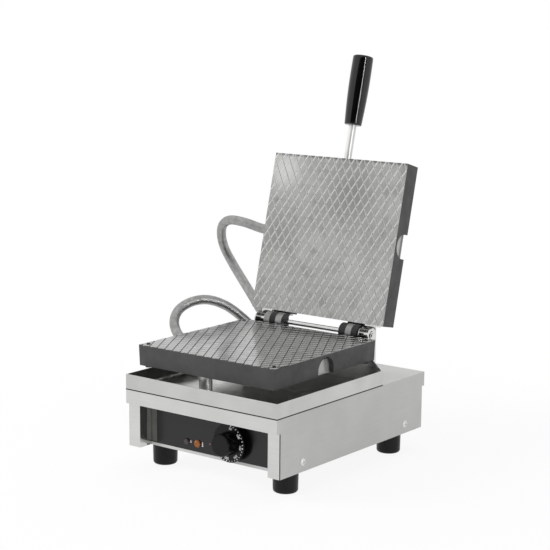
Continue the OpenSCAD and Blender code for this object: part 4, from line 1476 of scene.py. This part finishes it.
@dataclass
class Studio:
    """Camera, pale floor, plain soft lamps and a white surround.

    Within white_near metres of the middle the floor shows white_share of plain white over
    the object's shadow, and past white_far it shows nothing else. The camera stands at its
    distance in millimetres from the target on the bench, and focal_px is its focal length
    in pixels of a view that is frame_px wide.
    """

    azimuth: float = 37.57
    elevation: float = 9.97
    roll: float = 0.43
    distance: float = 2601.2
    target: tuple[float, float, float] = (-9.76, 200.0, 299.2)
    focal_px: float = 1625.7
    frame_px: int = 550
    sensor: float = 36.0
    clip: tuple[float, float] = (0.1, 50.0)
    world_light: float = 0.5
    floor_wide: float = 90.0
    floor_z: float = -0.0004
    white_near: float = 0.3
    white_far: float = 0.9
    white_share: float = 0.9
    cloth_far: float = 3.2
    cloth_wide: float = 6.4
    cloth_high: float = 2.6
    aim: tuple[float, float, float] = (0, 0, 0.2)

    def camera(self) -> None:
        """Makes the camera and sets it as the scene's."""
        az, el, roll = (math.radians(a) for a in (self.azimuth, self.elevation, self.roll))
        back = Vector((math.sin(az) * math.cos(el), -math.cos(az) * math.cos(el), math.sin(el)))
        right = Vector((math.cos(az), math.sin(az), 0))
        up = back.cross(right)
        across = right * math.cos(roll) + up * math.sin(roll)
        above = up * math.cos(roll) - right * math.sin(roll)
        data = bpy.data.cameras.new("view_camera")
        data.sensor_width = self.sensor
        data.lens = self.focal_px / self.frame_px * self.sensor
        data.clip_start, data.clip_end = self.clip
        camera = link_object("view_camera", data)
        centre = place(*self.target) + back * self.distance * MM
        camera.matrix_world = Matrix.Translation(centre) @ Matrix(
            (across, above, back)).transposed().to_4x4()
        bpy.context.scene.camera = camera

    def surround(self, add: Adder, seen: float | Node) -> Node:
        """Gives the share of plain white: 0 for rays that light the object.

        Args:
            add: adds a node to the tree.
            seen: the share of white for rays of the camera, mirrors and glass.
        Returns:
            The share.
        """
        path = add("ShaderNodeLightPath").outputs
        total = path["Is Camera Ray"]
        for name in ("Is Glossy Ray", "Is Transmission Ray"):
            total = add("ShaderNodeMath", {0: total, 1: path[name]}, operation="MAXIMUM")
        return add("ShaderNodeMath", {0: total, 1: seen}, operation="MULTIPLY")

    def world(self) -> None:
        """Makes a world that shows white and lights softly."""
        world = bpy.data.worlds.new("surround")
        bpy.context.scene.world = world
        add = empty_nodes(world)
        strength = add("ShaderNodeMapRange", {
            "Value": self.surround(add, 1.0), "To Min": self.world_light})
        shade = add("ShaderNodeBackground", {"Color": (1, 1, 1, 1), "Strength": strength})
        add("ShaderNodeOutputWorld", {"Surface": shade})

    def backdrop(self, name: str, material_name: str, lie: Matrix) -> tuple[Object, Adder]:
        """Lays a square metre of backdrop by a matrix.

        Args:
            name: its name.
            material_name: its material's name.
            lie: the matrix from the square to the frame.
        Returns:
            The backdrop and the function that adds nodes to its material.
        """
        bm = bmesh.new()
        bmesh.ops.create_grid(bm, x_segments=1, y_segments=1, size=0.5, matrix=lie)
        sheet = object_from(bm, name)
        material = bpy.data.materials.new(material_name)
        sheet.data.materials.append(material)
        return sheet, empty_nodes(material)

    def floor(self) -> None:
        """Lays a pale floor that keeps the object's shadow and is plain white farther out."""
        _, add = self.backdrop(
            "studio_floor", "pale_floor", Matrix.Translation((0, 0, self.floor_z))
            @ Matrix.Diagonal((self.floor_wide, self.floor_wide, 1, 1)))
        far = add("ShaderNodeVectorMath", {0: add("ShaderNodeTexCoord").outputs["Object"]},
                  operation="LENGTH")
        seen = add("ShaderNodeMapRange", {
            "Value": far, "From Min": self.white_near, "From Max": self.white_far,
            "To Min": self.white_share,
        }, interpolation_type="SMOOTHSTEP")
        mixed = add("ShaderNodeMixShader", {
            0: self.surround(add, seen),
            1: add("ShaderNodeBsdfDiffuse", {"Color": linear("#EDEDED")}),
            2: add("ShaderNodeEmission", {"Strength": 1.0})})
        add("ShaderNodeOutputMaterial", {"Surface": mixed})

    def dark_side(self) -> None:
        """Stands a black cloth behind the camera that only reflections show."""
        cloth, add = self.backdrop(
            "studio_dark_side", "black_cloth",
            Matrix.Rotation(math.radians(self.azimuth), 4, "Z")
            @ Matrix.Translation((0, -self.cloth_far, self.cloth_high / 2)) @ TO_USER
            @ Matrix.Diagonal((self.cloth_wide, self.cloth_high, 1, 1)))
        matt = add("ShaderNodeBsdfDiffuse", {"Color": linear("#0A0A0A")})
        add("ShaderNodeOutputMaterial", {"Surface": matt})
        cloth.visible_camera = cloth.visible_diffuse = cloth.visible_shadow = False
        cloth.visible_transmission = cloth.visible_volume_scatter = False

    def lamp(self, name: str, spot: tuple[float, float, float], watts: float,
             size: tuple[float, float], mirrored: bool = False) -> None:
        """Hangs one soft lamp that looks at the object.

        Args:
            name: the lamp's name.
            spot: its place in metres.
            watts: its power.
            size: its width and height in metres.
            mirrored: whether it shows only in reflections, and lights nothing by itself.
        """
        data = bpy.data.lights.new(name, "AREA")
        data.shape, data.energy = "RECTANGLE", watts
        data.size, data.size_y = size
        lamp = link_object(name, data)
        lamp.visible_glossy = mirrored
        lamp.visible_diffuse = not mirrored
        lamp.location = spot
        lamp.rotation_mode = "QUATERNION"
        lamp.rotation_quaternion = (Vector(self.aim) - Vector(spot)).to_track_quat("-Z", "Y")

    def light(self) -> None:
        """Sets the plain view, the world, the floor and the lamps."""
        bpy.context.scene.view_settings.view_transform = "Standard"
        self.world()
        self.floor()
        self.dark_side()
        self.lamp("key", (-1.6, -1.8, 1.9), 49.0, (1.2, 1.2))
        self.lamp("top", (0.1, 0.6, 2.6), 16.0, (1.6, 1.6))
        self.lamp("strip", (2.3, -0.75, 0.9), 22.0, (0.08, 1.6), mirrored=True)


def main() -> None:
    """Builds the machine's sub-assemblies in order."""
    logging.basicConfig(level=logging.INFO, format="%(name)s %(message)s")
    studio = Studio()
    studio.camera()

    ribs = rib_recipe()
    Conduit("lower_conduit", "conduit_lower", [
        (-132, 145, 180), (-150, 145, 181), (-174, 152, 188), (-195, 167, 204),
        (-206, 192, 219), (-202, 221, 229), (-188, 247, 230), (-170, 271, 219),
        (-154, 291, 200), (-142, 307, 180), (-134, 316, 159), (-131, 318, 138),
    ]).build(ribs)
    lid_gland = OPENED @ place(-132, 145, 222) - Vector((0, FRONT_Y, 0))
    Conduit("lid_conduit", "conduit_upper", [
        tuple(c / MM for c in lid_gland), (-156, 348, 345), (-189, 345, 352),
        (-221, 346, 353), (-246, 356, 341), (-260, 369, 320), (-263, 381, 296),
        (-253, 387, 273), (-230, 382, 251), (-201, 369, 232), (-172, 355, 214),
        (-145, 346, 191), (-127, 345, 165), (-120, 347, 138),
    ], bends=True).build(ribs)

    pads, seats = diamond_recipe(), seat_recipe()
    plate_y, lower_top, lid_face = 12.5, 200, 202
    # On each plate the groove flanks that face the light are painted pale as a highlight, the
    # others darker as shade
    lower = BakingPlate(
        "lower_plate_dressed", "lower_plate", seat(0, plate_y, lower_top), LOWER_FACE, LOWER_SHADED_FLANK,
        LOWER_LIT_FLANK, groove_deep=0.65, groove_top=1.8,
        holes=tuple((x, y) for x in (-124.5, 124.5) for y in (12.5, 252.5)))
    lower.build(pads)
    lower.stops(seats)
    BakingPlate(
        "lid_plate_dressed", "upper_plate",
        OPENED @ seat(0, plate_y, lid_face) @ Matrix.Diagonal((1, 1, -1, 1)), LID_FACE,
        LID_GLINT_FLANK, LID_SHADED_FLANK, groove_deep=0.5, groove_top=2.2).build(pads)
    Housing().build(seats)
    ControlPanel().build()
    Dial().build(dot_recipe())
    Handle().build()
    Works().build()

    studio.light()


if __name__ == "__main__":
    main()
